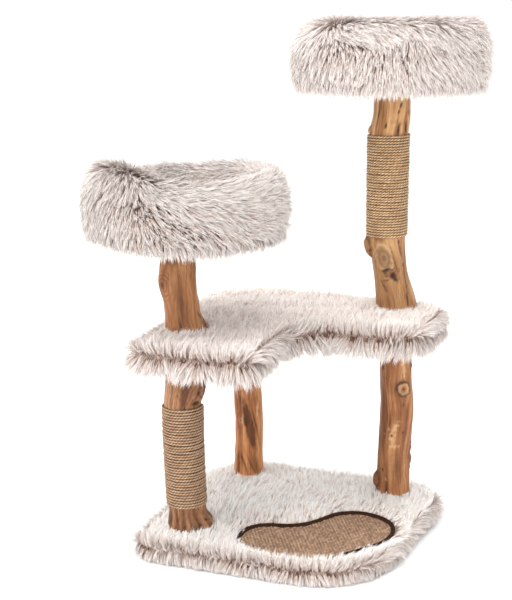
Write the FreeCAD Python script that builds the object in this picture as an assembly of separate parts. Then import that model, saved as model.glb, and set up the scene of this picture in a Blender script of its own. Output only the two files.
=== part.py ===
import FreeCAD, Part
import math
import os

# Cat tree. Millimetres, +Z up, +X to the right along the base's front edge, +Y to the back.
# The origin is the centre of the base, on the floor.

VECTOR = FreeCAD.Vector
UP = VECTOR(0, 0, 1)

# ---- driving dimensions ----

# Base: a rounded board with fur over it, each corner as x, y and its radius
BASE_CORNERS = [
    (-305.0, -300.0, 62.0),
    (270.0, -290.0, 190.0),
    (318.0, 275.0, 75.0),
    (-318.0, 293.0, 165.0),
]
GLIDE_CENTRES = [
    (0.0, 0.0),
    (-255.0, -245.0),
    (185.0, -205.0),
    (262.0, 216.0),
    (-255.0, 170.0),
]
GLIDE_HEIGHT = 6.0
GLIDE_RADIUS = 15.0
FELT_THICKNESS = 2.0
BASE_BOARD_THICKNESS = 25.0
BASE_PILE_TOP = 20.0        # how far the fur stands above a board
PILE_SIDE = 20.0            # how far the fur stands out past a board's edge
PILE_EDGE_ROUND = 16.0

# Platform: a boomerang board, each corner as x, y and its radius
PLATFORM_CORNERS = [
    (-280.0, -345.0, 48.0),
    (5.0, -352.0, 38.0),
    (-8.0, -18.0, 118.0),
    (297.0, -12.0, 75.0),
    (305.0, 278.0, 55.0),
    (-302.0, 308.0, 80.0),
]
PLATFORM_UNDERSIDE = 500.0  # height of the board's lower face
PLATFORM_BOARD_THICKNESS = 18.0
PLATFORM_PILE_TOP = 34.0
PLATFORM_HEM_DROP = 30.0    # how far the fur hangs below the board
UNDERSIDE_CLOTH = 1.5

# Scratch mat on the base board: a bean outline
MAT_CORNERS = [
    (-87.0, -253.0, 100.0),
    (126.0, -272.0, 130.0),
    (262.0, -77.0, 146.0),
    (268.0, 42.0, 95.0),
    (119.0, 91.0, 88.0),
    (40.0, -65.0, 115.0),
    (-85.0, -91.0, 72.0),
]
MAT_THICKNESS = 5.0
MAT_BORDER_WIDTH = 9.0
MAT_BORDER_THICKNESS = 6.5
MAT_CLEARANCE = 1.0

# Posts: the axis where each log stands on the base
LEFT_POST = (-210.0, -176.0)
RIGHT_POST = (197.5, 221.5)
BACK_POST = (-207.5, 214.0)
POST_CLEARANCE = 1.0        # between a log and the edge of the fur round it

# Jute rope round two of the logs
ROPE_DIAMETER = 7.0
LEFT_ROPE_SPAN = (107.0, 362.0)
RIGHT_ROPE_SPAN = (731.0, 989.0)

# Beds: centre, height of the board's lower face and height of the wall's crest
LEFT_BED_CENTRE = (-211.0, -176.0)
LEFT_BED_UNDERSIDE = 775.0
LEFT_BED_CREST = 930.0
TOP_BED_CENTRE = (167.0, 209.5)
TOP_BED_UNDERSIDE = 1107.0
TOP_BED_CREST = 1272.0
BED_BOARD_RADIUS = 216.0
BED_BOARD_THICKNESS = 12.0
BED_OUTER_RADIUS = 242.0
BED_BOWL_RADIUS = 165.0
BED_FOAM_THICKNESS = 45.0
BED_PILE_TOP = 25.0
BED_LINING = 12.0
BED_HEM_DROP = 10.0
BED_TUCK = 16.0             # how far the cover's foot is drawn in under its widest line
BED_TUCK_HEIGHT = 42.0
CUSHION_GAP = 4.0           # between the cushion and the bowl's wall
CUSHION_LIFT = 0.3          # between the cushion and the lining
CUSHION_THICKNESS = 42.0
CUSHION_ROUND = 18.0

# M8 fasteners
THREAD_RADIUS = 4.0
INSERT_BORE_RADIUS = 4.1
INSERT_RADIUS = 6.0
INSERT_LENGTH = 20.0
BOLT_REACH = 35.0           # thread inside a log
BOLT_HOLE_RADIUS = 4.5
BOLT_HOLE_DEPTH = 42.0
HEAD_ACROSS_FLATS = 13.0
HEAD_HEIGHT = 5.5
WASHER_RADIUS = 12.0
WASHER_THICKNESS = 1.5
COUNTERBORE_RADIUS = 13.0
COUNTERBORE_DEPTH = 9.0

# ---- heights that follow from them ----

BASE_UNDERSIDE = GLIDE_HEIGHT + FELT_THICKNESS
BASE_TOP = BASE_UNDERSIDE + BASE_BOARD_THICKNESS
PLATFORM_TOP = PLATFORM_UNDERSIDE + PLATFORM_BOARD_THICKNESS

# Each log as rings up its height: height, sideways offset of its centre in x, radius.
LOGS = {
    "left_lower_log": (LEFT_POST, [
        (BASE_TOP, 0.0, 57.0),
        (62.0, 0.0, 54.0),
        (92.0, -8.0, 44.0),
        (362.0, -17.0, 45.0),
        (412.0, -9.0, 48.0),
        (PLATFORM_UNDERSIDE, -3.0, 45.0),
    ]),
    "right_lower_log": (RIGHT_POST, [
        (BASE_TOP, 0.0, 43.0),
        (150.0, -3.0, 41.0),
        (280.0, 4.0, 43.0),
        (400.0, -2.0, 41.0),
        (PLATFORM_UNDERSIDE, 0.0, 44.0),
    ]),
    "back_log": (BACK_POST, [
        (BASE_TOP, 0.0, 40.0),
        (200.0, 0.0, 37.0),
        (330.0, -3.0, 38.0),
        (PLATFORM_UNDERSIDE, 0.0, 37.0),
    ]),
    "left_upper_log": (LEFT_POST, [
        (PLATFORM_TOP, -3.0, 51.0),
        (545.0, -4.0, 50.0),
        (572.0, -11.0, 44.0),
        (616.0, -18.0, 41.5),
        (664.0, -25.0, 44.0),
        (LEFT_BED_UNDERSIDE, -19.0, 39.5),
    ]),
    "right_upper_log": (RIGHT_POST, [
        (PLATFORM_TOP, 0.0, 51.0),
        (560.0, -4.0, 49.0),
        (659.0, -25.0, 44.0),
        (731.0, -34.0, 46.0),
        (989.0, -35.0, 47.0),
        (1045.0, -28.0, 46.0),
        (TOP_BED_UNDERSIDE, -26.0, 46.0),
    ]),
}


# ---- helpers ----

def flat(x, y):
    """A point of an outline that lies in the XY plane."""
    return VECTOR(x, y, 0)


def upright(x, y):
    """A point of a profile that stands in the XZ plane, for turning round Z."""
    return VECTOR(x, 0, y)


def rounded_outline(corners, place=flat):
    """A closed wire of straight edges and tangent arcs, from corners given as x, y and radius."""
    edges = []
    starts = []
    ends = []
    middles = []
    count = len(corners)
    for index in range(count):
        x, y, radius = corners[index]
        before = corners[index - 1]
        after = corners[(index + 1) % count]
        corner = VECTOR(x, y, 0)
        back = (VECTOR(before[0], before[1], 0) - corner).normalize()
        ahead = (VECTOR(after[0], after[1], 0) - corner).normalize()
        half = back.getAngle(ahead) / 2
        reach = radius / math.tan(half)
        bisector = (back + ahead).normalize()
        centre = corner + bisector * (radius / math.sin(half))
        starts.append(corner + back * reach)
        middles.append(centre - bisector * radius)
        ends.append(corner + ahead * reach)
    for index in range(count):
        start, middle, end = starts[index], middles[index], ends[index]
        if (end - start).Length > 1e-6:
            arc = Part.Arc(place(start.x, start.y), place(middle.x, middle.y), place(end.x, end.y))
            edges.append(arc.toShape())
        following = starts[(index + 1) % count]
        if (following - end).Length > 1e-6:
            edges.append(Part.makeLine(place(end.x, end.y), place(following.x, following.y)))
    return Part.Wire(edges)


def plate(wire, bottom, top):
    """An outline in the XY plane made into a plate between two heights."""
    face = Part.Face(wire)
    face.translate(VECTOR(0, 0, bottom))
    return face.extrude(VECTOR(0, 0, top - bottom))


def turned(corners):
    """A profile of x, z and corner radius, turned all the way round Z."""
    return Part.Face(rounded_outline(corners, upright)).revolve(VECTOR(0, 0, 0), UP, 360)


def cylinder(radius, bottom, top, centre):
    return Part.makeCylinder(radius, top - bottom, VECTOR(centre[0], centre[1], bottom))


def grown(wire, distance):
    """An outline moved outwards by a distance, or inwards if it is negative."""
    return wire.makeOffset2D(distance)


def soft_top(solid, height, radius):
    """Rounds the outer edges of a plate at one height."""
    edges = []
    for edge in solid.Edges:
        box = edge.BoundBox
        if abs(box.ZMin - height) < 1e-3 and abs(box.ZMax - height) < 1e-3:
            edges.append(edge)
    return solid.makeFillet(radius, edges)


def save(name, shape):
    """Writes one node, and stops if any of its solids isn't sound."""
    solids = shape.Solids
    if not solids or not shape.isValid():
        raise ValueError(name + " isn't a valid solid")
    shape = solids[0] if len(solids) == 1 else Part.makeCompound(solids)
    shape.exportStep("parts/" + name + ".step")
    print(name, len(solids), round(shape.Volume / 1000, 1), "cm3")


# ---- logs, their fasteners and ropes ----

def log_axis(name, height):
    """The centre and radius of a log at a height."""
    post, rings = LOGS[name]
    for lower, upper in zip(rings, rings[1:]):
        if lower[0] <= height <= upper[0]:
            share = (height - lower[0]) / (upper[0] - lower[0])
            offset = lower[1] + share * (upper[1] - lower[1])
            radius = lower[2] + share * (upper[2] - lower[2])
            return (post[0] + offset, post[1]), radius
    raise ValueError("no ring at that height")


def log_body(post, rings, extra=0.0):
    """Tapered lengths from ring to ring; extra makes it fatter all round."""
    circles = []
    for height, offset, radius in rings:
        centre = VECTOR(post[0] + offset, post[1], height)
        circles.append(Part.Wire(Part.makeCircle(radius + extra, centre, UP)))
    return Part.makeLoft(circles, True, True)


def end_centre(name, end):
    """Where the bolt enters a log, at its bottom or top."""
    post, rings = LOGS[name]
    ring = rings[0] if end == "bottom" else rings[-1]
    return (post[0] + ring[1], post[1]), ring[0]


def end_cuts(name, end):
    """The insert's pocket and the deeper bolt hole in one end of a log."""
    centre, height = end_centre(name, end)
    way = 1 if end == "bottom" else -1
    cuts = []
    for radius, depth in ((INSERT_RADIUS, INSERT_LENGTH), (BOLT_HOLE_RADIUS, BOLT_HOLE_DEPTH)):
        low, high = sorted((height, height + way * depth))
        cuts.append(cylinder(radius, low, high, centre))
    return cuts


def insert(name, end):
    """A threaded insert, flush with one end of a log."""
    centre, height = end_centre(name, end)
    way = 1 if end == "bottom" else -1
    low, high = sorted((height, height + way * INSERT_LENGTH))
    return cylinder(INSERT_RADIUS, low, high, centre).cut(cylinder(INSERT_BORE_RADIUS, low, high, centre))


def hexagon_head(centre, bottom, top):
    corner = HEAD_ACROSS_FLATS / math.sqrt(3)
    points = []
    for index in range(7):
        angle = math.radians(60 * index)
        points.append(VECTOR(centre[0] + corner * math.cos(angle), centre[1] + corner * math.sin(angle), 0))
    return plate(Part.makePolygon(points), bottom, top)


def bolt(centre, seat, tip):
    """A hexagon bolt whose head sits on a washer at seat and whose thread ends at tip."""
    if tip > seat:
        head = hexagon_head(centre, seat - HEAD_HEIGHT, seat)
    else:
        head = hexagon_head(centre, seat, seat + HEAD_HEIGHT)
    low, high = sorted((seat, tip))
    return head.fuse(cylinder(THREAD_RADIUS, low, high, centre)).removeSplitter()


def washer(centre, bottom):
    top = bottom + WASHER_THICKNESS
    return cylinder(WASHER_RADIUS, bottom, top, centre).cut(cylinder(BOLT_HOLE_RADIUS, bottom, top, centre))


def make_logs():
    ends = {
        "left_lower_log": ("bottom", "top"),
        "right_lower_log": ("bottom", "top"),
        "back_log": ("bottom", "top"),
        "left_upper_log": ("bottom", "top"),
        "right_upper_log": ("bottom", "top"),
    }
    inserts = []
    for name, (post, rings) in LOGS.items():
        body = log_body(post, rings)
        for end in ends[name]:
            for cut in end_cuts(name, end):
                body = body.cut(cut)
            inserts.append(insert(name, end))
        save(name, body)
    save("log_inserts", Part.makeCompound(inserts))


def make_rope(name, log, span):
    """The space that a tight single layer of rope fills round a log."""
    post, rings = LOGS[log]
    inside = log_body(post, rings)
    outside = log_body(post, rings, ROPE_DIAMETER)
    centre, radius = log_axis(log, span[0])
    slab = cylinder(radius * 2, span[0], span[1], centre)
    save(name, outside.common(slab).cut(inside))


# ---- base ----

def make_base():
    outline = rounded_outline(BASE_CORNERS)
    feet = [end_centre(name, "bottom")[0] for name in ("left_lower_log", "right_lower_log", "back_log")]
    board = plate(outline, BASE_UNDERSIDE, BASE_TOP)
    felt = plate(grown(outline, -4.0), GLIDE_HEIGHT, BASE_UNDERSIDE)
    bolts = []
    washers = []
    for centre in feet:
        seat = BASE_UNDERSIDE + COUNTERBORE_DEPTH
        board = board.cut(cylinder(COUNTERBORE_RADIUS, BASE_UNDERSIDE, seat, centre))
        board = board.cut(cylinder(BOLT_HOLE_RADIUS, seat, BASE_TOP, centre))
        washers.append(washer(centre, seat - WASHER_THICKNESS))
        bolts.append(bolt(centre, seat - WASHER_THICKNESS, BASE_TOP + BOLT_REACH))
        felt = felt.cut(cylinder(COUNTERBORE_RADIUS, GLIDE_HEIGHT, BASE_UNDERSIDE, centre))
    glides = [cylinder(GLIDE_RADIUS, 0, GLIDE_HEIGHT, centre) for centre in GLIDE_CENTRES]
    save("base_board", board)
    save("base_underside_felt", felt)
    save("base_bolts", Part.makeCompound(bolts))
    save("base_washers", Part.makeCompound(washers))
    save("base_glides", Part.makeCompound(glides))


def make_base_fur():
    outline = rounded_outline(BASE_CORNERS)
    top = BASE_TOP + BASE_PILE_TOP
    fur = soft_top(plate(grown(outline, PILE_SIDE), BASE_UNDERSIDE, top), top, PILE_EDGE_ROUND)
    fur = fur.cut(plate(outline, BASE_UNDERSIDE, BASE_TOP))
    fur = fur.cut(plate(grown(rounded_outline(MAT_CORNERS), MAT_CLEARANCE), BASE_TOP, top))
    for name in ("left_lower_log", "right_lower_log", "back_log"):
        post, rings = LOGS[name]
        fur = fur.cut(log_body(post, rings, POST_CLEARANCE))
    save("base_fur_cover", fur)


def make_mat():
    outline = rounded_outline(MAT_CORNERS)
    inner = grown(outline, -MAT_BORDER_WIDTH)
    border = plate(outline, BASE_TOP, BASE_TOP + MAT_BORDER_THICKNESS)
    border = border.cut(plate(inner, BASE_TOP, BASE_TOP + MAT_BORDER_THICKNESS))
    save("scratch_mat", plate(inner, BASE_TOP, BASE_TOP + MAT_THICKNESS))
    save("scratch_mat_border", border)


# ---- platform ----

def make_platform():
    outline = rounded_outline(PLATFORM_CORNERS)
    left = end_centre("left_lower_log", "top")[0]
    right = end_centre("right_lower_log", "top")[0]
    back = end_centre("back_log", "top")[0]
    board = plate(outline, PLATFORM_UNDERSIDE, PLATFORM_TOP)
    cloth = plate(grown(outline, -2.0), PLATFORM_UNDERSIDE - UNDERSIDE_CLOTH, PLATFORM_UNDERSIDE)
    for centre in (left, right, back):
        board = board.cut(cylinder(BOLT_HOLE_RADIUS, PLATFORM_UNDERSIDE, PLATFORM_TOP, centre))
    for name in ("left_lower_log", "right_lower_log", "back_log"):
        post, rings = LOGS[name]
        cloth = cloth.cut(log_body(post, rings, POST_CLEARANCE))
    save("platform_board", board)
    save("platform_underside_cloth", cloth)
    studs = []
    for centre in (left, right):
        low = PLATFORM_UNDERSIDE - BOLT_REACH
        high = PLATFORM_TOP + BOLT_REACH
        studs.append(cylinder(THREAD_RADIUS, low, high, centre))
    save("platform_studs", Part.makeCompound(studs))
    save("back_post_washer", washer(back, PLATFORM_TOP))
    save("back_post_bolt", bolt(back, PLATFORM_TOP + WASHER_THICKNESS, PLATFORM_UNDERSIDE - BOLT_REACH))


def make_platform_fur():
    outline = rounded_outline(PLATFORM_CORNERS)
    back = end_centre("back_log", "top")[0]
    bottom = PLATFORM_UNDERSIDE - PLATFORM_HEM_DROP
    top = PLATFORM_TOP + PLATFORM_PILE_TOP
    fur = soft_top(plate(grown(outline, PILE_SIDE), bottom, top), top, PILE_EDGE_ROUND)
    fur = fur.cut(plate(outline, bottom, PLATFORM_TOP))
    for name in ("left_upper_log", "right_upper_log"):
        post, rings = LOGS[name]
        fur = fur.cut(log_body(post, rings, POST_CLEARANCE))
    head_room = WASHER_THICKNESS + HEAD_HEIGHT + 1.0
    fur = fur.cut(cylinder(COUNTERBORE_RADIUS, PLATFORM_TOP, PLATFORM_TOP + head_room, back))
    save("platform_fur_cover", fur)


# ---- beds ----

def make_bed(prefix, log, centre, underside, crest):
    """A round bed on top of a log: board, foam wall, fur cover with its lining, cloth, bolt and cushion."""
    board_top = underside + BED_BOARD_THICKNESS
    hole, _ = end_centre(log, "top")
    log_radius = LOGS[log][1][-1][2]
    middle = VECTOR(centre[0], centre[1], 0)
    foam_top = crest - BED_PILE_TOP
    foam_inner = BED_BOARD_RADIUS - BED_FOAM_THICKNESS
    floor = board_top + BED_LINING

    board = cylinder(BED_BOARD_RADIUS, underside, board_top, centre)
    board = board.cut(cylinder(BOLT_HOLE_RADIUS, underside, board_top, hole))

    cloth = cylinder(BED_BOARD_RADIUS - 2.0, underside - UNDERSIDE_CLOTH, underside, centre)
    cloth = cloth.cut(cylinder(log_radius + POST_CLEARANCE, underside - UNDERSIDE_CLOTH, underside, hole))

    foam = turned([
        (foam_inner, board_top, 0.0),
        (BED_BOARD_RADIUS, board_top, 0.0),
        (BED_BOARD_RADIUS, foam_top, 18.0),
        (foam_inner, foam_top, 18.0),
    ])
    foam.translate(middle)

    fur = turned([
        (0.0, underside - BED_HEM_DROP, 0.0),
        (BED_OUTER_RADIUS - BED_TUCK, underside - BED_HEM_DROP, 10.0),
        (BED_OUTER_RADIUS, underside + BED_TUCK_HEIGHT, 40.0),
        (BED_OUTER_RADIUS, crest, 46.0),
        (BED_BOWL_RADIUS, crest, 32.0),
        (BED_BOWL_RADIUS, floor, 14.0),
        (0.0, floor, 0.0),
    ])
    fur.translate(middle)
    fur = fur.cut(cylinder(BED_BOARD_RADIUS, underside - 2 * BED_HEM_DROP, board_top, centre))
    fur = fur.cut(foam)
    head_room = WASHER_THICKNESS + HEAD_HEIGHT + 1.0
    fur = fur.cut(cylinder(COUNTERBORE_RADIUS, board_top, board_top + head_room, hole))

    cushion_radius = BED_BOWL_RADIUS - CUSHION_GAP
    cushion_bottom = floor + CUSHION_LIFT
    cushion_top = cushion_bottom + CUSHION_THICKNESS
    cushion = turned([
        (0.0, cushion_bottom, 0.0),
        (cushion_radius, cushion_bottom, CUSHION_ROUND),
        (cushion_radius, cushion_top, CUSHION_ROUND),
        (0.0, cushion_top, 0.0),
    ])
    cushion.translate(middle)

    save(prefix + "_board", board)
    save(prefix + "_underside_cloth", cloth)
    save(prefix + "_foam_wall", foam)
    save(prefix + "_fur_cover", fur)
    save(prefix + "_cushion", cushion)
    bed_bolt = bolt(hole, board_top + WASHER_THICKNESS, underside - BOLT_REACH)
    return bed_bolt, washer(hole, board_top)


def main():
    os.makedirs("parts", exist_ok=True)
    make_base()
    make_base_fur()
    make_mat()
    make_logs()
    make_rope("left_lower_rope", "left_lower_log", LEFT_ROPE_SPAN)
    make_rope("right_upper_rope", "right_upper_log", RIGHT_ROPE_SPAN)
    make_platform()
    make_platform_fur()
    beds = [
        make_bed("left_bed", "left_upper_log", LEFT_BED_CENTRE, LEFT_BED_UNDERSIDE, LEFT_BED_CREST),
        make_bed("top_bed", "right_upper_log", TOP_BED_CENTRE, TOP_BED_UNDERSIDE, TOP_BED_CREST),
    ]
    save("bed_bolts", Part.makeCompound([bed[0] for bed in beds]))
    save("bed_washers", Part.makeCompound([bed[1] for bed in beds]))


main()
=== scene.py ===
import math

import bpy
import numpy as np
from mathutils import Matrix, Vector
from mathutils.geometry import tessellate_polygon


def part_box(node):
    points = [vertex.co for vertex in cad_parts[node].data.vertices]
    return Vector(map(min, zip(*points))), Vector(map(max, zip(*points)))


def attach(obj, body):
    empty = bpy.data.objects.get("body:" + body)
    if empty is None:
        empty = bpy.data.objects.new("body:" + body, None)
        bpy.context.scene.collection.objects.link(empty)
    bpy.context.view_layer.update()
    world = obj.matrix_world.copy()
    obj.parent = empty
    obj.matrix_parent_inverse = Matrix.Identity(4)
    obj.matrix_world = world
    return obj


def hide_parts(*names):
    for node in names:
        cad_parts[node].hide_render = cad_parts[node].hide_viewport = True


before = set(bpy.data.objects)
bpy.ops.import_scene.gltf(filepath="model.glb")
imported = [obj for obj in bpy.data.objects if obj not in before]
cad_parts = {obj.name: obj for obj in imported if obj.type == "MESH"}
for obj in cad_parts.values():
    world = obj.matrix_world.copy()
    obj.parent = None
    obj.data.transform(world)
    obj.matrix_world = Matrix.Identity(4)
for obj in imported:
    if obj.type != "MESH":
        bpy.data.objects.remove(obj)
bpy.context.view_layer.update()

# Cat tree: peeled logs, jute ropes, a woven scratch mat and long faux fur over boards and padded rings.
# Metres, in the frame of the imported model. Places come from the CAD nodes.

MM = 0.001
BODY = "stand"

# ---- fur ----
TUFT_SPACING = 5.8 * MM         # between the roots of neighbouring tufts
SIDE_ROW_STEP = TUFT_SPACING * 0.7
TOP_ROW_STEP = TUFT_SPACING * 0.9
BED_ROW_STEP = TUFT_SPACING * 0.86
STRANDS_IN_TUFT = 7
TUFTS_IN_PIECE = 5600           # about 196,000 triangles
STRAND_WIDTH = 1.1 * MM
STRAND_FLY = 0.05               # how far a strand's tip strays, as a share of its length
STRAND_ROLL = 0.6               # how far a strand's ribbon rolls from lying flat
TUFT_TURN = 7.0                 # how far tufts stray from their comb, in degrees
CURVE_STEPS = 16                # in the bend of a tuft, before it is cut to the stations
# Rows of tufts over a board's edge: inset in mm, tilt of the surface in degrees, and where the tips point, in
# degrees up from outwards, first where the fur lies inwards and then where it hangs outwards
EDGE_ROWS = ((-1.0, 74.0, -20.0, -66.0), (1.5, 60.0, 40.0, -48.0), (5.0, 40.0, 105.0, -28.0),
             (9.0, 24.0, 148.0, -8.0))
STRAND_STATIONS = (0.0, 0.3, 0.64, 1.0)
STRAND_TAPER = (0.8, 1.0, 0.8)
TUFT_SPREAD = 3.4 * MM
SKIN = 1.5 * MM                 # the fur's cloth backing
BACKING_RISE = 26.0 * MM        # the width over which padding lifts it from a board's edge
FLOOR_GAP = 1.2 * MM
POST_GAP = 2.0 * MM             # between a log and the roots round it
POST_RUFF = 13.0 * MM           # how far from a log the fur stands up against it
MAT_RUFF = 26.0 * MM            # how far from the mat the fur grows shorter towards it
SECTION_STEP = 2.0 * MM         # along a bed's section
CREST_DROP = 17.0 * MM          # from the top of a bed's fur cover to its padding's crest

# ---- logs ----
LOG_STEP = 2.4 * MM

# ---- rope ----
ROPE_DIAMETER = 7.0 * MM
ROPE_STEP = 2.6 * MM
ROPE_TWIST = 24.0 * MM          # along the rope for one turn of its three strands

# ---- scratch mat ----
MAT_PITCH = 4.6 * MM            # between the threads of its weave
MAT_STEP = MAT_PITCH / 4
BORDER_WIDTH = 9.0 * MM
BORDER_LIP = 4.5 * MM

# ---- cushions ----
CUSHION_TURNS = 72
CUSHION_RINGS = 18              # on each face
CLOTH_FRAMES = 18               # of the cloth simulation
CLOTH_PRESSURE = 3.0
CLOTH_STIFFNESS = 12.0
CLOTH_BENDING = 0.4
CUSHION_SWELL = 8.0 * MM        # the most that any point moves
CUSHION_MIDDLE = 0.3            # the share of its radius, at the middle, that is made smooth afterwards
CUSHION_CROWN = 1.5 * MM        # how far the middle stands over the cloth round it
PIPING_RADIUS = 2.6 * MM
PIPING_TURNS = 240

# Camera: on the front's right, a little above the top bed
CAMERA_AZIMUTH = 21.0
CAMERA_PITCH = 13.2
CAMERA_DISTANCE = 3.2
CAMERA_TARGET = (-0.12, 0.04, 0.58)
CAMERA_LENS = 76.8

# Lights: name, place, what it is turned to, size in metres and power in watts
MIDDLE = (-0.05, 0.0, 0.65)
LIGHTS = (
    ("key", (-2.2, -2.6, 3.0), MIDDLE, 1.8, 44.0),
    ("above", (-0.2, -0.9, 3.6), MIDDLE, 3.0, 78.0),
    ("fill", (3.0, -2.2, 1.6), MIDDLE, 2.2, 9.0),
    ("low", (-0.4, -3.6, 0.8), (-0.05, 0.0, 0.1), 1.6, 18.0),
    ("back", (0.6, 3.0, 2.8), MIDDLE, 2.0, 28.0),
    ("under", (1.3, -2.9, 1.3), (0.0, 0.05, 0.0), 1.0, 11.0),
)
WORLD_LIGHT = 1.05
FLOOR_REACH = 14.0


# ================= reading the frame =================

def mesh_points(mesh):
    """The vertices of a mesh, one row each."""
    points = np.zeros(len(mesh.vertices) * 3)
    mesh.vertices.foreach_get("co", points)
    return points.reshape(-1, 3)


def node_points(node):
    """The vertices of a CAD node."""
    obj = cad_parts[node]
    matrix = np.array(obj.matrix_world)
    return mesh_points(obj.data) @ matrix[:3, :3].T + matrix[:3, 3]


def box(node):
    """The low and the high corner of a CAD node's box."""
    low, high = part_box(node)
    return np.array(low), np.array(high)


def log_rings(node):
    """Each ring of a log as height, centre x, centre y and radius, from the bottom up."""
    points = node_points(node)
    levels = np.round(points[:, 2] / MM).astype(int)
    rings = []
    for level in np.unique(levels):
        ring = points[levels == level]
        low, high = ring.min(0), ring.max(0)
        wide, deep = (high - low)[:2]
        whole = len(ring) >= 100 and wide > 60 * MM and abs(wide - deep) < 0.3 * MM
        if whole:
            rings.append((ring[:, 2].mean(), (low[0] + high[0]) / 2, (low[1] + high[1]) / 2, wide / 2))
    return np.array(rings)


def smooth_at(rings, heights):
    """Rings between the CAD's rings, on smooth curves that never overshoot."""
    heights = np.clip(heights, rings[0, 0], rings[-1, 0])
    rates = np.diff(rings[:, 1:], axis=0) / np.diff(rings[:, 0])[:, None]
    before, after = rates[:-1], rates[1:]
    level = before * after <= 0
    between = np.where(level, 0.0, 2 * before * after / np.where(level, 1.0, before + after))
    slopes = np.vstack([rates[:1], between, rates[-1:]])
    index = np.clip(np.searchsorted(rings[:, 0], heights, side="right") - 1, 0, len(rings) - 2)
    span = rings[index + 1, 0] - rings[index, 0]
    t = ((heights - rings[index, 0]) / span)[:, None]
    a, b = rings[index, 1:], rings[index + 1, 1:]
    ma, mb = slopes[index] * span[:, None], slopes[index + 1] * span[:, None]
    return ((2 * t**3 - 3 * t**2 + 1) * a + (t**3 - 2 * t**2 + t) * ma
            + (-2 * t**3 + 3 * t**2) * b + (t**3 - t**2) * mb)


def top_outline(node):
    """The outer edge of a flat node's top face, in order, as x and y."""
    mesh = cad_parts[node].data
    mesh.calc_loop_triangles()
    points = node_points(node)
    keys = np.round(points / (0.02 * MM)).astype(np.int64)
    _, first, same = np.unique(keys, axis=0, return_index=True, return_inverse=True)
    same = same.ravel()
    top = points[:, 2].max()
    uses = {}
    for triangle in mesh.loop_triangles:
        corners = [int(same[i]) for i in triangle.vertices]
        if min(points[i][2] for i in triangle.vertices) < top - 0.05 * MM:
            continue
        for a, b in zip(corners, corners[1:] + corners[:1]):
            uses[(a, b)] = True
    following = {a: b for a, b in uses if (b, a) not in uses}
    loops = []
    while following:
        start, at = following.popitem()
        loop = [start]
        while at in following:
            loop.append(at)
            at = following.pop(at)
        loops.append(points[first[loop]][:, :2])
    return max(loops, key=lambda loop: float(np.ptp(loop[:, 0])))


def signed_area(loop):
    """The area inside an outline, above zero where it runs anticlockwise."""
    return 0.5 * np.sum(loop[:, 0] * np.roll(loop[:, 1], -1) - loop[:, 1] * np.roll(loop[:, 0], -1))


def evenly(loop, step):
    """A closed outline again, with points about step apart, anticlockwise."""
    if signed_area(loop) < 0:
        loop = loop[::-1]
    ring = np.vstack([loop, loop[:1]])
    along = np.concatenate([[0], np.cumsum(np.linalg.norm(np.diff(ring, axis=0), axis=1))])
    at = np.linspace(0, along[-1], max(8, round(along[-1] / step)) + 1)[:-1]
    return np.stack([np.interp(at, along, ring[:, k]) for k in range(2)], axis=1)


def outward(loop):
    """The unit normal that points out of an anticlockwise outline, at each point."""
    ahead = np.roll(loop, -1, axis=0) - np.roll(loop, 1, axis=0)
    normal = np.stack([ahead[:, 1], -ahead[:, 0]], axis=1)
    return normal / np.linalg.norm(normal, axis=1, keepdims=True)


def inside(points, loop):
    """Whether each point lies inside an outline."""
    result = np.zeros(len(points), bool)
    for a, b in zip(loop, np.roll(loop, -1, axis=0)):
        crosses = (a[1] > points[:, 1]) != (b[1] > points[:, 1])
        reach = (b[0] - a[0]) * (points[:, 1] - a[1]) / (b[1] - a[1] + 1e-12) + a[0]
        result ^= crosses & (points[:, 0] < reach)
    return result


# ================= meshes =================

def new_object(name, data):
    """An object in the scene, of new data."""
    obj = bpy.data.objects.new(name, data)
    bpy.context.scene.collection.objects.link(obj)
    return obj


def declare(obj, replaced, body=BODY):
    """Says what an object rides on and stands for."""
    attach(obj, body)
    if replaced:
        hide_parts(*replaced)
    return obj


def piece(name, points, faces, material, replaced=(), body=BODY, attributes=None):
    """A new smooth object. Its attributes are values for each of its points, for its material to read."""
    mesh = bpy.data.meshes.new(name)
    mesh.from_pydata([tuple(p) for p in points], [], [tuple(f) for f in faces])
    for key, values in (attributes or {}).items():
        values = np.asarray(values, np.float32)
        kind, field = ("FLOAT_VECTOR", "vector") if values.ndim == 2 else ("FLOAT", "value")
        layer = mesh.attributes.new(key, kind, "POINT")
        layer.data.foreach_set(field, values.ravel())
    mesh.materials.append(material)
    mesh.polygons.foreach_set("use_smooth", [True] * len(mesh.polygons))
    return declare(new_object(name, mesh), replaced, body)


def rings_round(loop, profile):
    """Copies of an outline, each grown outwards and set at a height: a list of both in profile."""
    normals = outward(loop)
    return [np.hstack([loop + normals * grow, np.full((len(loop), 1), height)]) for grow, height in profile]


def closed_over(rings):
    """Faces that join rings of points, with a flat face over the last ring."""
    rows, columns = len(rings), len(rings[0])
    last = (rows - 1) * columns
    cap = tessellate_polygon([[Vector((x, y, 0)) for x, y in rings[-1][:, :2]]])
    return tube_faces(rows, columns) + [tuple(last + i for i in triangle) for triangle in cap]


def tube_faces(rows, columns, closed_rows=False):
    """Faces of a surface of rows by columns points, closed round its columns."""
    i = np.arange(rows if closed_rows else rows - 1)[:, None]
    j = np.arange(columns)[None, :]
    a = i * columns + j
    b = i * columns + (j + 1) % columns
    c = ((i + 1) % rows) * columns + (j + 1) % columns
    d = ((i + 1) % rows) * columns + j
    return np.stack([a, b, c, d], axis=-1).reshape(-1, 4).tolist()


def capped(rows, columns):
    """A tube's faces with a flat face at each end."""
    start = list(range(columns))[::-1]
    end = [(rows - 1) * columns + k for k in range(columns)]
    return tube_faces(rows, columns) + [start, end]


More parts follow.
